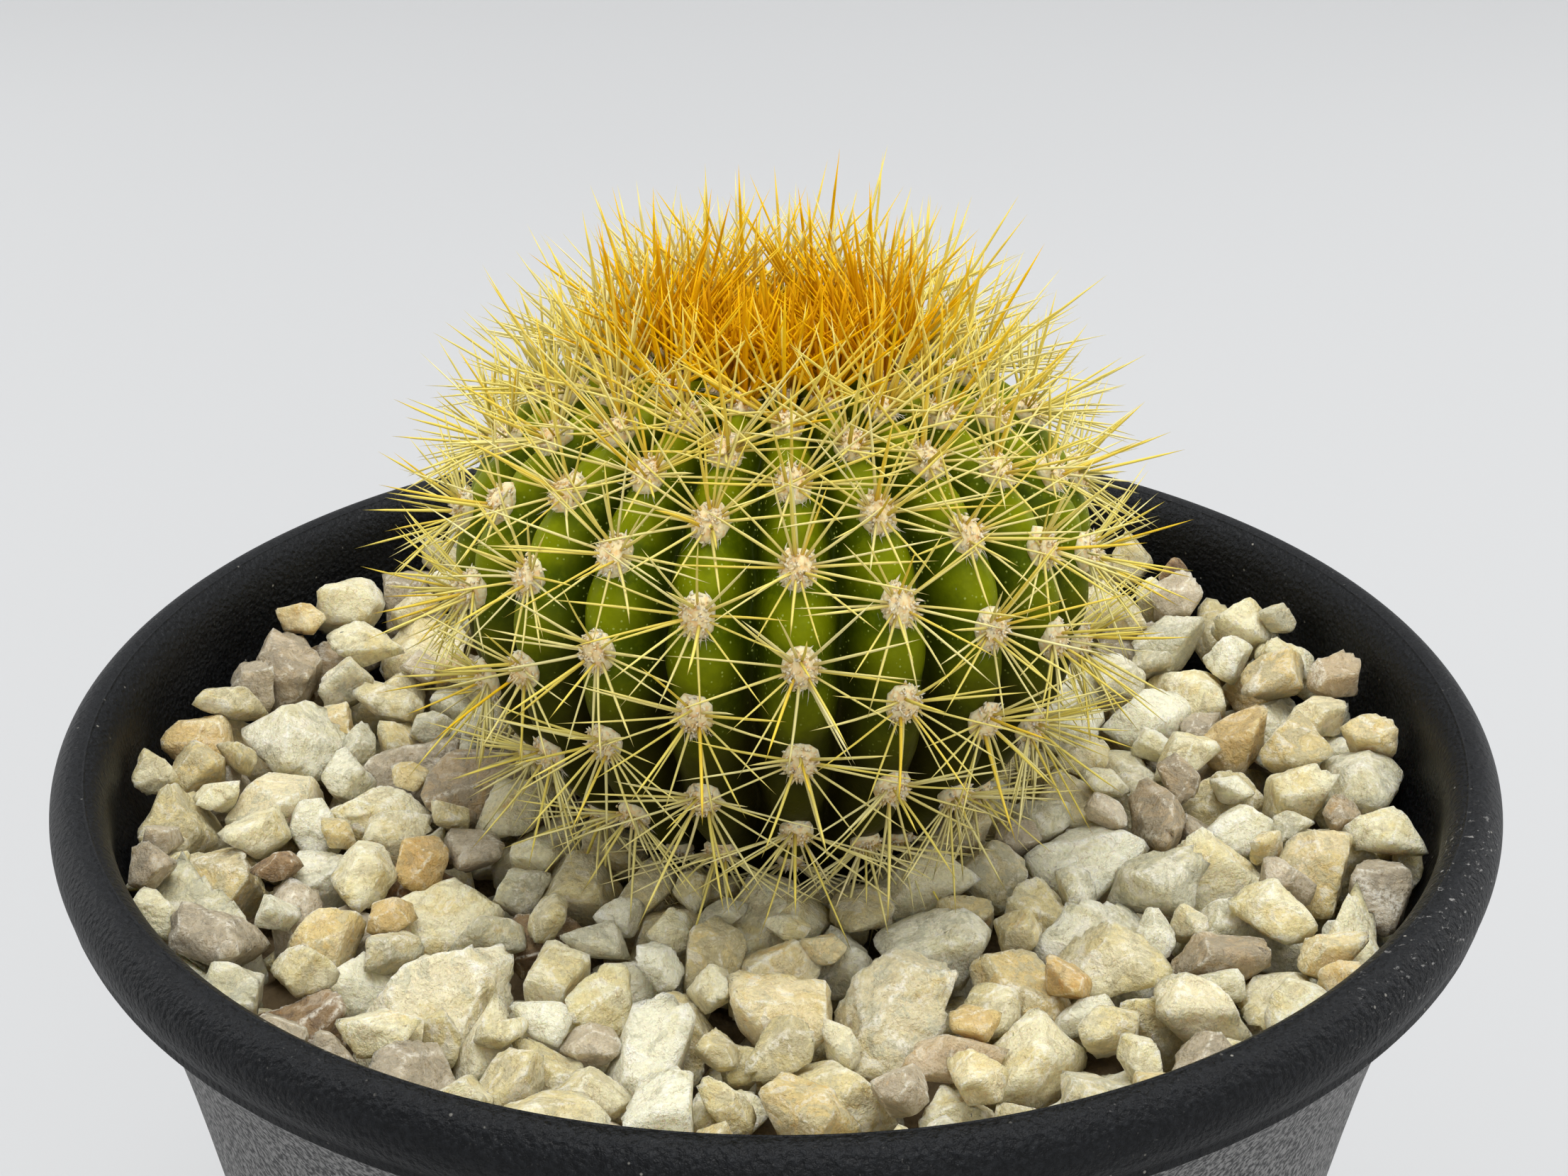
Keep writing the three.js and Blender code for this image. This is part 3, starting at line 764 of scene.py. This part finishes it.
def areoles(first):
    """Every areole from that number on: its number from the crown, its foot point, and its
    directions out of the skin, down the rib, and sideways towards the next rib."""
    rib, order = (a.ravel() for a in np.meshgrid(np.arange(RIBS), np.arange(-1, 14), indexing="ij"))
    number = order + rib_start(rib)
    distance = areole_distance(number)
    kept = (number >= first) & (distance < LAST_AREOLE)
    rib, number, distance = rib[kept], number[kept], distance[kept]
    turn = FIRST_RIB_TURN + 2 * np.pi * rib / RIBS
    radius, z, out_r, out_z = crest_at(distance)
    foot = around(radius, turn, z)
    out = around(out_r, turn, out_z)
    down = around(out_z, turn, -out_r)
    side = np.cross(down, out)
    return {"number": number, "foot": foot, "out": out, "down": down, "side": side}


# Directions of an areole's spines: angle from sideways towards down, height over the skin, and
# length in millimetres.
SIDE_SPINES = [(-42, 34, 5.4), (-22, 26, 5.9), (-6, 20, 6.2), (9, 22, 6.2), (26, 27, 5.7)]
DOWN_SPINES = [(56, 24, 5.5), (80, 30, 4.9), (108, 27, 5.1), (126, 34, 5.3)]
UP_SPINES = [(-66, 42, 5.0), (-92, 50, 4.7), (-118, 40, 5.0)]
MIDDLE_SPINES = [(-80, 68, 5.6), (50, 64, 6.2), (128, 66, 5.9)]
YOUNG_SPINES = [(-150, 44, 5.4), (-30, 44, 5.4), (-75, 34, 5.2), (-105, 34, 5.2)]
YOUNG_SPINES += [(10, 48, 5.6), (170, 48, 5.6)]
SIDE, DOWN, UP, MIDDLE, YOUNG = range(5)


def areole_needles(rng):
    """Spines of the grown areoles. Near the crown they stand up and are golden, the longest
    behind it and paler there as a painted glow of the light from behind; near the gravel they
    droop and are straw-coloured."""
    place = areoles(0.85)
    mirrored = [(180 - angle, height, length) for angle, height, length in SIDE_SPINES]
    groups = [SIDE_SPINES + mirrored, DOWN_SPINES, UP_SPINES, MIDDLE_SPINES, YOUNG_SPINES]
    table = np.array([(*row, kind) for kind, group in enumerate(groups) for row in group], float)
    many, kinds = len(place["number"]), len(table)
    number = np.repeat(place["number"], kinds)
    angle, height, length, kind = np.tile(table, (many, 1)).T
    young = np.clip((4.2 - number) / 3, 0, 1)
    low_on_stem = np.clip((number - 6.0) / 2.5, 0, 1)
    angle = np.radians(angle + rng.normal(0, 6.5, len(angle)))
    height = height + 14 * young + 8 * smooth_step(number, 2.6, 1) - 4 * low_on_stem
    height = np.radians(np.clip(height + rng.normal(0, 6, len(angle)), 6, 84))
    back = smooth_step(place["foot"][:, 1], -3, 6).repeat(kinds)
    length = length * (1.13 + (0.26 + 0.36 * back) * young + 0.06 * low_on_stem)
    length = length * (1 - 0.12 * smooth_step(number, 2.0, 1.2))
    length = length * rng.uniform(0.82, 1.12, len(angle))
    out, down, side = (np.repeat(place[name], kinds, 0) for name in ("out", "down", "side"))
    flat = np.cos(angle)[:, None] * side + np.sin(angle)[:, None] * down
    way = unit(np.cos(height)[:, None] * flat + np.sin(height)[:, None] * out)
    way = unit(way + (0.22 * low_on_stem - 0.12 * young)[:, None] * down)
    foot = np.repeat(place["foot"], kinds, 0) + 0.3 * out + 0.45 * flat
    bend = rng.normal(0, 0.16, way.shape) - 0.12 * out * (1 - young)[:, None]
    age = 0.28 + 0.1 * young + 0.46 * smooth_step(number, 2.2, 1.2) + 0.08 * (kind == UP)
    # Paler behind the crown (back * young): a painted glow of the light from behind.
    age = age + 0.14 * (kind == MIDDLE) - 0.22 * low_on_stem - 0.3 * back * young
    age = np.clip(age + rng.normal(0, 0.07, len(age)), 0, 1)
    radius = np.where(kind == MIDDLE, 0.107, 0.092) * (1 + 0.25 * smooth_step(number, 3, 1))
    radius = radius * rng.uniform(0.85, 1.15, len(age)) * (1 - 0.12 * low_on_stem)
    shed = ((kind == YOUNG) | (kind == UP)) * smooth_step(number, 1.2, 2.2)
    lost = rng.uniform(size=len(age)) < 0.06 + 0.4 * shed
    kept = ~lost & ((kind <= DOWN) | (number < 8)) & ((kind < YOUNG) | (number < 4.3))
    return needles(foot[kept], way[kept], length[kept], radius[kept], bend[kept], age[kept])


def crown_needles(rng):
    """The tuft of young spines: feet spread evenly over the middle of the crown, leaning out more
    the further out they stand, rusty in the middle and amber outside, and paler at the back as a
    painted glow of the light from behind."""
    count = 460
    reach = 4.7 * np.sqrt((np.arange(count) + 0.5) / count)
    turn = np.arange(count) * GOLDEN_TURN + rng.normal(0, 0.15, count)
    radius, z, _, _ = crest_at(reach)
    foot = around(radius, turn, z - 0.1)
    lean = np.radians(2 + 4.2 * reach + rng.normal(0, 5, count))
    aim = turn + rng.normal(0, 0.3, count)
    way = around(np.sin(lean), aim, np.cos(lean))
    length = (3.7 + 0.25 * reach) * rng.uniform(0.7, 1.15, count)
    bend = rng.normal(0, 0.2, way.shape)
    # Paler at the back (the last term): a painted glow of the light from behind.
    age = 0.98 - 0.18 * (reach / 5) ** 1.2 - 0.2 * smooth_step(foot[:, 1], 1.5, 4.7)
    age = np.clip(age + rng.normal(0, 0.05, count), 0, 1)
    thick = rng.uniform(0.16, 0.24, count)
    return needles(foot, way, length, thick, bend, age, sides=4, steps=5)


def make_needles():
    """The spines of the ribs and those of the crown, as two pieces."""
    rng = np.random.default_rng(21)
    tints = [
        (0.0, (0.84, 0.74, 0.42)),
        (0.2, (0.79, 0.72, 0.33)),
        (0.4, (0.78, 0.64, 0.10)),
        (0.6, (0.84, 0.52, 0.003)),
        (0.82, (0.72, 0.35, 0.001)),
        (1.0, (0.44, 0.18, 0.001)),
    ]
    spine = needle_finish("spines", tints, (0.42, 0.20, 0.05), 0.25)
    young = needle_finish("crown_spines", tints, (0.60, 0.30, 0.02), 0.5)
    rows = [f"spine_row_{rib + 1:02d}" for rib in range(RIBS)]
    make_needle_piece("rib_spines", areole_needles(rng), spine, rows)
    make_needle_piece("crown_tuft", crown_needles(rng), young, ["crown_spines"])


def make_wool(finish):
    """Each areole has a lumpy felt cushion, half a flattened ball, with short curled hairs all
    over it and a fringe of longer white ones at its lower edge."""
    rng = np.random.default_rng(5)
    place = areoles(1.0)
    number = place["number"]
    many = len(number)
    low_on_stem = np.clip((number - 6.5) / 2, 0, 1)
    size = np.clip(0.66 + 0.14 * number, 0.76, 1.04) * (1 - 0.25 * low_on_stem)
    rows, columns = 9, 12
    polar = np.linspace(0.16, np.pi - 0.16, rows)[:, None]
    turn = 2 * np.pi * np.arange(columns) / columns
    x, y = np.sin(polar) * np.cos(turn), np.sin(polar) * np.sin(turn)
    ball = np.stack(np.broadcast_arrays(x, y, np.cos(polar)), -1)
    shell, (quads, caps), _ = capped_grid(ball, [0, 0, 1], [0, 0, -1])
    half = np.array([1.0, 1.22, 0.72])
    axes = np.stack([place["side"], place["down"], place["out"]], 1)

    def from_areole(local, pick):
        """Vectors given in the directions of the picked areoles."""
        return np.einsum("ni,nij->nj", local, axes[pick])

    rough = 1 + 0.16 * lumps(shell[None] * 3 + 20 * np.arange(many)[:, None, None], 1.3, 8)
    local = shell[None] * half * size[:, None, None] * rough[..., None]
    felt = np.einsum("nvi,nij->nvj", local, axes) + place["foot"][:, None]
    start = len(shell) * np.arange(many)[:, None, None]
    faces = [(start + quads).reshape(-1, 4), (start + caps).reshape(-1, 3)]
    middle = np.exp(-(local[..., 0] ** 2 + local[..., 1] ** 2) * 3)
    tint = 0.3 + 0.25 * np.clip(local[..., 2] / 0.7, 0, 1) * middle
    places = np.stack([np.tile(0.5 + 0.4 * shell[:, 0], (many, 1)), tint + 0.02 * shell[:, 1]], -1)
    cushions = (felt.reshape(-1, 3), faces, places.reshape(-1, 2))
    hairs = 64
    pick = np.repeat(np.arange(many), hairs)
    angle = rng.uniform(0, 2 * np.pi, len(pick))
    spread = np.sqrt(rng.uniform(0, 1, len(pick)))
    up = np.sqrt(np.clip(1 - spread**2, 0, 1))
    on_ball = np.stack([np.cos(angle) * spread, np.sin(angle) * spread, up], 1)
    foot = from_areole(on_ball * half * size[pick, None], pick) + place["foot"][pick]
    aim = on_ball * 0.8 + rng.normal(0, 0.35, (len(pick), 3))
    way = unit(from_areole(aim, pick))
    length = rng.uniform(0.16, 0.32, len(pick)) * size[pick]
    bend = rng.normal(0, 0.12, way.shape)
    age = np.clip(0.22 + 0.2 * (1 - spread) + rng.normal(0, 0.12, len(pick)), 0.02, 1)
    thick = np.full(len(pick), 0.11)
    curls = needles(foot, way, length, thick, bend, age, sides=3, steps=2)
    fringe = 12
    pick = np.repeat(np.arange(many), fringe)
    sideways = rng.uniform(-0.75, 0.75, len(pick))
    local = np.stack(np.broadcast_arrays(sideways, 0.85, 0.12), 1) * size[pick, None]
    foot = from_areole(local, pick) + place["foot"][pick]
    aim = np.stack(np.broadcast_arrays(sideways * 0.7, 1, 0.3), 1)
    way = unit(from_areole(aim + rng.normal(0, 0.3, aim.shape), pick))
    length = rng.uniform(0.4, 0.9, len(pick)) * size[pick]
    bend = rng.normal(0, 0.2, way.shape)
    white, thin = np.full(len(pick), 0.02), np.full(len(pick), 0.03)
    wisps = needles(foot, way, length, thin, bend, white, sides=3, steps=3)
    make_needle_piece("areole_wool", joined([cushions, curls, wisps]), finish)


# Gravel ---------------------------------------------------------------------------------------
def ball_net(n):
    """A cube blown up to a ball: six n by n grids with their shared points merged. Returns the
    directions of the points, the quads, and the corners' places in a three by two picture."""
    t = np.tan(np.linspace(-np.pi / 4, np.pi / 4, n + 1))
    a, b = np.meshgrid(t, t, indexing="ij")
    one = np.ones_like(a)
    sides = [(one, a, b), (-one, b, a), (b, one, a), (a, -one, b), (a, b, one), (b, a, -one)]
    points = unit(np.stack([np.stack(side, -1) for side in sides])).reshape(-1, 3)
    rounded = np.round(points, 5)
    _, first, merged = np.unique(rounded, axis=0, return_index=True, return_inverse=True)
    i, j = (x.ravel() for x in np.meshgrid(np.arange(n), np.arange(n), indexing="ij"))
    corner_i = np.stack([i, i + 1, i + 1, i], 1)
    corner_j = np.stack([j, j, j + 1, j + 1], 1)
    side = np.arange(6)[:, None, None]
    quads = merged.ravel()[side * (n + 1) ** 2 + corner_i * (n + 1) + corner_j]
    edge = 0.04
    u = (side % 3 + edge + (1 - 2 * edge) * corner_i / n) / 3
    v = (side // 3 + edge + (1 - 2 * edge) * corner_j / n) / 2
    return points[first], quads.reshape(-1, 4), np.stack([u, v], -1).reshape(-1, 4, 2)


def turned(rng, count, tilt):
    """Random turns about Z after tilts of up to so many radians about X and Y."""
    tilts = rng.uniform(-tilt, tilt, (2, count))
    made = []
    for x, y, z in zip(*tilts, rng.uniform(0, 2 * np.pi, count)):
        turn = Matrix.Rotation(z, 3, "Z") @ Matrix.Rotation(y, 3, "Y")
        made.append(np.array(turn @ Matrix.Rotation(x, 3, "X")))
    return np.array(made)


def soft_minimum(shares):
    """Nearly the smallest of the distances whose inverses are given."""
    return (shares**SHARPNESS).sum(-1) ** (-1 / SHARPNESS)


class Chips:
    """A heap of broken stones. A stone is a ball cut by flat planes, stretched to its half sizes
    and turned; a point's distance from the middle is the soft minimum of its distances to the
    planes, (sum (direction . normal / plane distance)^k)^(-1/k) with k = SHARPNESS."""

    def __init__(self, rng, halves, axes, planes):
        self.halves = halves
        count = len(halves)
        i = np.arange(planes)
        high = 1 - (2 * i + 1) / planes
        level, turn = np.sqrt(1 - high**2), GOLDEN_TURN * i
        even = np.stack([level * np.cos(turn), level * np.sin(turn), high], 1)
        normals = unit(even[None] + rng.normal(0, 0.3, (count, planes, 3)))
        normals = np.einsum("npi,nij->npj", normals, turned(rng, count, np.pi))
        cuts = rng.uniform(0.66, 1.0, (count, planes))
        scaled = np.einsum("npi,nij->npj", normals / halves[:, None], axes)
        size = np.linalg.norm(scaled, axis=-1)
        self.normals, self.distances = scaled / size[..., None], cuts / size
        self.middles = np.zeros((count, 3))

    def fit(self, lows, highs):
        """Stretches every stone to fill its own box."""
        directions = ball_net(8)[0]
        reach = soft_minimum(self.shares(directions))[..., None] * directions
        low, high = reach.min(1), reach.max(1)
        stretch = (highs - lows) / (high - low)
        self.middles = (highs + lows) / 2 - stretch * (high + low) / 2
        scaled = self.normals / stretch[:, None]
        size = np.linalg.norm(scaled, axis=-1)
        self.normals, self.distances = scaled / size[..., None], self.distances / size

    def shares(self, directions, chosen=slice(None)):
        """One over each direction's distance to each plane, for the chosen stones."""
        facing = np.einsum("vi,npi->nvp", directions, self.normals[chosen])
        return np.maximum(facing, 0.001) / self.distances[chosen][:, None]

    def columns(self, i, cell):
        """The stone over a raster: cell offsets, and the heights of its underside and top there,
        from its middle."""
        normals, distances = self.normals[i], self.distances[i]
        reach = int(math.ceil(1.25 * self.halves[i].max() / cell))
        line = np.arange(-reach, reach + 1)
        dx, dy = (a.ravel() for a in np.meshgrid(line, line, indexing="ij"))
        slope = normals[:, 2:]
        rest = distances[:, None] - (normals[:, :1] * dx + normals[:, 1:2] * dy) * cell
        height = rest / np.where(np.abs(slope) < 0.02, 0.02, slope)
        top = np.where(slope > 0.02, height, np.inf).min(0)
        bottom = np.where(slope < -0.02, height, -np.inf).max(0)
        inside = (top > bottom) & np.where(np.abs(slope) <= 0.02, rest > 0, True).all(0)
        return dx[inside], dy[inside], bottom[inside], top[inside]

    def meshes(self, chosen, n):
        """Points, quads, map places and marks of the chosen stones, with broken faces. Six n by n
        grids make a stone; the mark "edge" is 1 where two planes meet."""
        directions, quads, places = ball_net(n)
        chosen = np.asarray(chosen)
        shares = self.shares(directions, chosen)
        radius = soft_minimum(shares)
        two = np.sort(shares, -1)[..., -2:]
        edge = two[..., 0] / two[..., 1]
        rough = (radius[..., None] * directions) + 50 * chosen[:, None, None]
        broken = 0.075 * ledges(rough, 1.9, 31) + 0.04 * ledges(rough, 0.9, 41)
        uneven = 1 + broken + 0.06 * lumps(rough, 2.1, 51) + 0.02 * lumps(rough, 0.45, 52)
        radius = radius * uneven
        points = radius[..., None] * directions + self.middles[chosen][:, None]
        count = len(chosen)
        faces = (quads[None] + len(directions) * np.arange(count)[:, None, None]).reshape(-1, 4)
        across = math.ceil(math.sqrt(count))
        corner = np.stack([np.arange(count) % across, np.arange(count) // across], 1)
        places = ((places[None] + corner[:, None, None]) / across).reshape(-1, 4, 2)
        own = np.random.default_rng(77).uniform(size=(2, 2000))[:, chosen]
        marks = {"edge": edge, "shade": np.repeat(own[0], len(directions))}
        marks["tone"] = np.repeat(own[1], len(directions))
        return points.reshape(-1, 3), [faces], [places], marks


def on_raster(cell):
    """Where cells counted from the middle stand in the maps; those outside move to the rim."""
    return np.clip(cell + HALF_RASTER, 0, 2 * HALF_RASTER)


def drop(stones, i, ground, ceiling, rng, tries, reach):
    """Lets one stone fall at many places and keeps the lowest where it stays under the ceiling:
    it comes to rest where its underside first meets the ground. Raises the ground by it."""
    dx, dy, bottom, top = stones.columns(i, CELL)
    distance = reach[0] + (reach[1] - reach[0]) * np.sqrt(rng.uniform(size=tries))
    turn = rng.uniform(0, 2 * np.pi, tries)
    x = np.round(distance * np.cos(turn) / CELL).astype(int)
    y = np.round(distance * np.sin(turn) / CELL).astype(int)
    at_x, at_y = on_raster(x[:, None] + dx), on_raster(y[:, None] + dy)
    rest = (ground[at_x, at_y] - bottom).max(1)
    free = (rest[:, None] + top < ceiling[at_x, at_y]).all(1)
    if not free.any():
        return False
    best = np.argmin(np.where(free, rest, np.inf))
    stones.middles[i] = x[best] * CELL, y[best] * CELL, rest[best]
    spot = at_x[best], at_y[best]
    ground[spot] = np.maximum(ground[spot], rest[best] + top)
    return True


def random_stones(rng, count, small, large, planes):
    """Stones of random lengths between two, still to be dropped."""
    length = rng.uniform(small, large, count) / 2
    width, height = rng.uniform(0.6, 0.92, count), rng.uniform(0.5, 0.78, count)
    halves = np.stack([length, length * width, length * height], 1)
    return Chips(rng, halves * 1.15, turned(rng, count, 0.8), planes)


def named_stones():
    """The CAD's loose stones: their three axes are those of the node's own points."""
    names = sorted(n for n in frame["nodes"] if n.startswith("gravel_stone_"))
    halves, axes, lows, highs = [], [], [], []
    for name in names:
        mesh = frame["nodes"][name].data
        points = np.empty(len(mesh.vertices) * 3)
        mesh.vertices.foreach_get("co", points)
        points = points.reshape(-1, 3) / MM
        points = points - points.mean(0)
        own = np.linalg.svd(points, full_matrices=False)[2]
        own[2] *= np.sign(np.linalg.det(own))
        halves.append(np.abs(points @ own.T).max(0))
        axes.append(own)
        low, high = box_of(name)
        lows.append(low)
        highs.append(high)
    stones = Chips(np.random.default_rng(14), np.array(halves), np.array(axes), 13)
    stones.fit(np.array(lows), np.array(highs))
    return names, stones


def gravel_room():
    """Maps of every cell's distance from the middle, of the ground, which is the gravel's foot and
    the pot's wall, and of the stem's underside. No stone lies where the ground is BLOCKED."""
    line = np.arange(-HALF_RASTER, HALF_RASTER + 1) * CELL
    radius = np.hypot(*np.meshgrid(line, line, indexing="ij"))
    wall_z = np.linspace(60, 77.6, 200)
    wall_r = np.minimum(inside_radius(wall_z), inside_radius(WALL_TOP_Z - 1.5) + 0.2) - 0.15
    wall = np.interp(radius, np.maximum.accumulate(wall_r), wall_z, left=60)
    ground = np.maximum(GRAVEL_FOOT, np.where(radius > 41.0, BLOCKED, wall))
    ground = np.where(radius < 8.0, BLOCKED, ground)
    crest_r, crest_z = CREST[1:3]
    under = crest_z < STEM_MIDDLE
    belly = np.interp(radius, crest_r[under][::-1], crest_z[under][::-1]) - 0.6
    return radius, ground, np.where(radius > STEM_RADIUS, BLOCKED, belly)


def gravel_ceiling(radius):
    """The height that filling stones stay under: the gravel's level, higher near the wall and
    most so at the back."""
    line = np.arange(-HALF_RASTER, HALF_RASTER + 1) * CELL
    back = smooth_step(line[None], -6, 10)
    rise = (1.1 + 1.3 * back) * smooth_step(radius, 30, 38)
    return GRAVEL_LEVEL + 2.2 + rise + 0.3 * np.sin(radius)


# Body, milky, glassy and stain colours of each kind of stone
STONES = {
    "cream": [(0.68, 0.58, 0.30), (0.76, 0.69, 0.45), (0.54, 0.48, 0.29), (0.68, 0.46, 0.15)],
    "pale": [(0.65, 0.60, 0.38), (0.77, 0.73, 0.54), (0.52, 0.50, 0.35), (0.62, 0.48, 0.20)],
    "grey": [(0.46, 0.39, 0.27), (0.60, 0.52, 0.38), (0.35, 0.30, 0.21), (0.50, 0.33, 0.14)],
    "tan": [(0.62, 0.45, 0.19), (0.72, 0.58, 0.32), (0.46, 0.34, 0.16), (0.56, 0.30, 0.07)],
    "brown": [(0.30, 0.20, 0.10), (0.46, 0.34, 0.20), (0.18, 0.12, 0.07), (0.38, 0.17, 0.04)],
}
# How much of each kind is stained, milky and chalky
STONE_AMOUNTS = [
    (0.4, 0.5, 0.5),
    (0.2, 0.55, 0.55),
    (0.3, 0.42, 0.25),
    (0.5, 0.42, 0.25),
    (0.7, 0.3, 0.2),
]
# Each kind's share of the filling stones
STONE_SHARES = [0.53, 0.28, 0.13, 0.04, 0.02]


def make_gravel():
    """Three lots of stones, dropped one by one onto a map of heights: small ones under, then the
    CAD's loose stones in their places, then more to fill the gaps up to the gravel's level,
    first a row along the rim and then the largest ones first."""
    rng = np.random.default_rng(9)
    radius, ground, belly = gravel_room()
    lower = random_stones(rng, LOWER_STONES, 3.2, 5.2, 9)
    ceiling = np.minimum(70.0, belly)
    lots = range(LOWER_STONES)
    laid = [i for i in lots if drop(lower, i, ground, ceiling, rng, 40, (9, 37.5))]
    names, loose = named_stones()
    for i in range(len(names)):
        dx, dy, _, top = loose.columns(i, CELL)
        x, y = np.round(loose.middles[i, :2] / CELL).astype(int)
        spot = on_raster(x + dx), on_raster(y + dy)
        ground[spot] = np.maximum(ground[spot], loose.middles[i, 2] + top)
    ceiling = np.minimum(gravel_ceiling(radius), belly)
    fill = random_stones(rng, FILLING_STONES, 2.4, 6.6, 11)
    lots = range(RIM_STONES)
    filled = [i for i in lots if drop(fill, i, ground, ceiling, rng, 90, (36.5, 40.4))]
    lots = RIM_STONES + np.argsort(-fill.halves[RIM_STONES:, 0])
    filled += [i for i in lots if drop(fill, i, ground, ceiling, rng, 260, (9.5, 40.2))]

    finishes = {
        colour: stone_finish("stone_" + colour, *looks, *amounts)
        for (colour, looks), amounts in zip(STONES.items(), STONE_AMOUNTS)
    }
    slots = {row["node"]: row["material_slot"] for row in frame["record"]["subparts"]}
    for colour, finish in finishes.items():
        slot = "stone_" + colour
        chosen = [i for i, name in enumerate(names) if slots[name] == slot]
        own = [names[i] for i in chosen]
        make_stones(f"loose_stones_{colour}", loose.meshes(chosen, 24), finish, own)
    kinds = np.random.default_rng(3).choice(list(STONES), FILLING_STONES, p=STONE_SHARES)
    for colour, finish in finishes.items():
        chosen = [i for i in filled if kinds[i] == colour]
        name = f"filling_stones_{colour}"
        make_stones(name, fill.meshes(chosen, 9), finish)
    make_stones("lower_stones", lower.meshes(laid, 6), finishes["cream"])
    # Painted shade: the gravel's base is dark brown so that the gaps between the stones read as
    # shadow.
    make_bed(soil_finish("gravel_base_painted_shade", (0.13, 0.085, 0.04), (0.36, 0.26, 0.13)))


def make_stones(name, stones, finish, stands_for=()):
    """One piece out of what Chips.meshes gives."""
    points, faces, places, marks = stones
    make_piece(name, points, faces, finish, stands_for, places, marks)


def make_bed(finish):
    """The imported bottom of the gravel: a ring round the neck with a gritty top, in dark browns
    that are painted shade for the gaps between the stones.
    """
    foot = box_of("gravel_bed")[0][2]
    radii = np.concatenate([[8.2, 9.0], np.linspace(10, 37.6, 60), [38.2, 38.5]])
    turn = np.linspace(0, 2 * np.pi, 240, endpoint=False)
    top = around(radii[:, None], turn, 66.0)
    top[1:-1, :, 2] += 0.5 * lumps(top[1:-1], 1.6, 41) + 0.3 * lumps(top[1:-1], 0.7, 42)
    radii, heights = np.array([38.4, 37.6, 36.6, 8.2]), np.array([65, 63, foot, foot])
    points = np.concatenate([top, around(radii[:, None], turn, heights[:, None])])
    quads, places = grid_faces(len(points), len(turn), True)
    points, bed = points.reshape(-1, 3), ["gravel_bed"]
    make_piece("gravel_base_painted_shade", points, [quads], finish, bed, [places])


# Room -----------------------------------------------------------------------------------------
def make_room():
    """A pale floor that sweeps up far away, a wide ceiling light, and weak soft lamps overhead,
    in front and at both sides, under a dim even sky."""
    f = Finish("floor")
    tone = f.blend(f.noise(f.place(), 400, 1), (0.462, 0.464, 0.465), (0.487, 0.489, 0.490))
    paper = f.surface(tone, f.noise(f.place(), 60) * 0.1 + 0.8, None, Specular_IOR_Level=0.2)
    radius = np.concatenate([[0.02], np.linspace(0.1, 3.2, 60)]) * 1000
    rise = 1300 * smooth_step(radius, 1500, 3400) ** 1.4
    columns = 96
    turn = np.linspace(0, 2 * np.pi, columns, endpoint=False)
    points = around(radius[:, None], turn, rise[:, None])
    quads, _ = grid_faces(len(radius), len(turn), False)
    mesh = bpy.data.meshes.new("floor")
    here = np.arange(columns)
    middle = np.stack([(here + 1) % columns, here, np.full(columns, points.size // 3)], 1)
    everything = np.concatenate([points.reshape(-1, 3), [[0, 0, 0]]]) * MM
    mesh.from_pydata(everything.tolist(), [], quads[:, ::-1].tolist() + middle[:, ::-1].tolist())
    mesh.polygons.foreach_set("use_smooth", np.ones(len(mesh.polygons), bool))
    mesh.materials.append(paper)
    floor = bpy.data.objects.new("floor", mesh)
    bpy.context.scene.collection.objects.link(floor)

    aim = Vector((0, 0, 0.08))

    def lamp(name, place, size, power):
        data = bpy.data.lights.new(name, "AREA")
        data.shape, data.size, data.energy = "DISK", size, power
        made = bpy.data.objects.new(name, data)
        made.location = place
        made.rotation_euler = (aim - Vector(place)).to_track_quat("-Z", "Y").to_euler()
        bpy.context.scene.collection.objects.link(made)

    lamp("ceiling", (0.1, 0.3, 4.0), 3.2, 104)
    lamp("overhead", (0.03, -0.03, 0.75), 0.5, 1.5)
    lamp("window", (0.25, -0.85, 0.5), 0.7, 2.1)
    lamp("left_side", (-0.7, 0.35, 0.3), 0.4, 1.2)
    lamp("right_side", (0.7, 0.35, 0.3), 0.4, 1.2)
    world = bpy.data.worlds.new("room")
    world.use_nodes = True
    sky = world.node_tree.nodes["Background"]
    sky.inputs["Color"].default_value = (0.95, 0.97, 1.0, 1)
    sky.inputs["Strength"].default_value = 0.66
    bpy.context.scene.world = world


def make_camera():
    """50 mm on a 36 mm frame, looking down on the plant from the front."""
    data = bpy.data.cameras.new("camera")
    data.sensor_width, data.lens = 36, 50
    data.clip_start, data.clip_end = 0.01, 20
    camera = bpy.data.objects.new("camera", data)
    rise, pitch, away = math.radians(29.5), math.radians(26.0), 140.8
    camera.location = (0.55 * MM, -away * math.cos(rise) * MM, (LIP_Z + away * math.sin(rise)) * MM)
    camera.rotation_euler = (math.pi / 2 - pitch, 0, 0)
    bpy.context.scene.collection.objects.link(camera)
    bpy.context.scene.camera = camera


make_camera()
make_room()
make_pot(pot_finish())
make_stem(skin_finish())
make_wool(wool_finish())
make_needles()
make_gravel()

mix = frame["nodes"]["potting_mix"]
mix.data.materials.clear()
mix.data.materials.append(soil_finish("potting_mix", (0.02, 0.012, 0.007), (0.09, 0.055, 0.03)))

bpy.context.scene.view_settings.view_transform = "Standard"
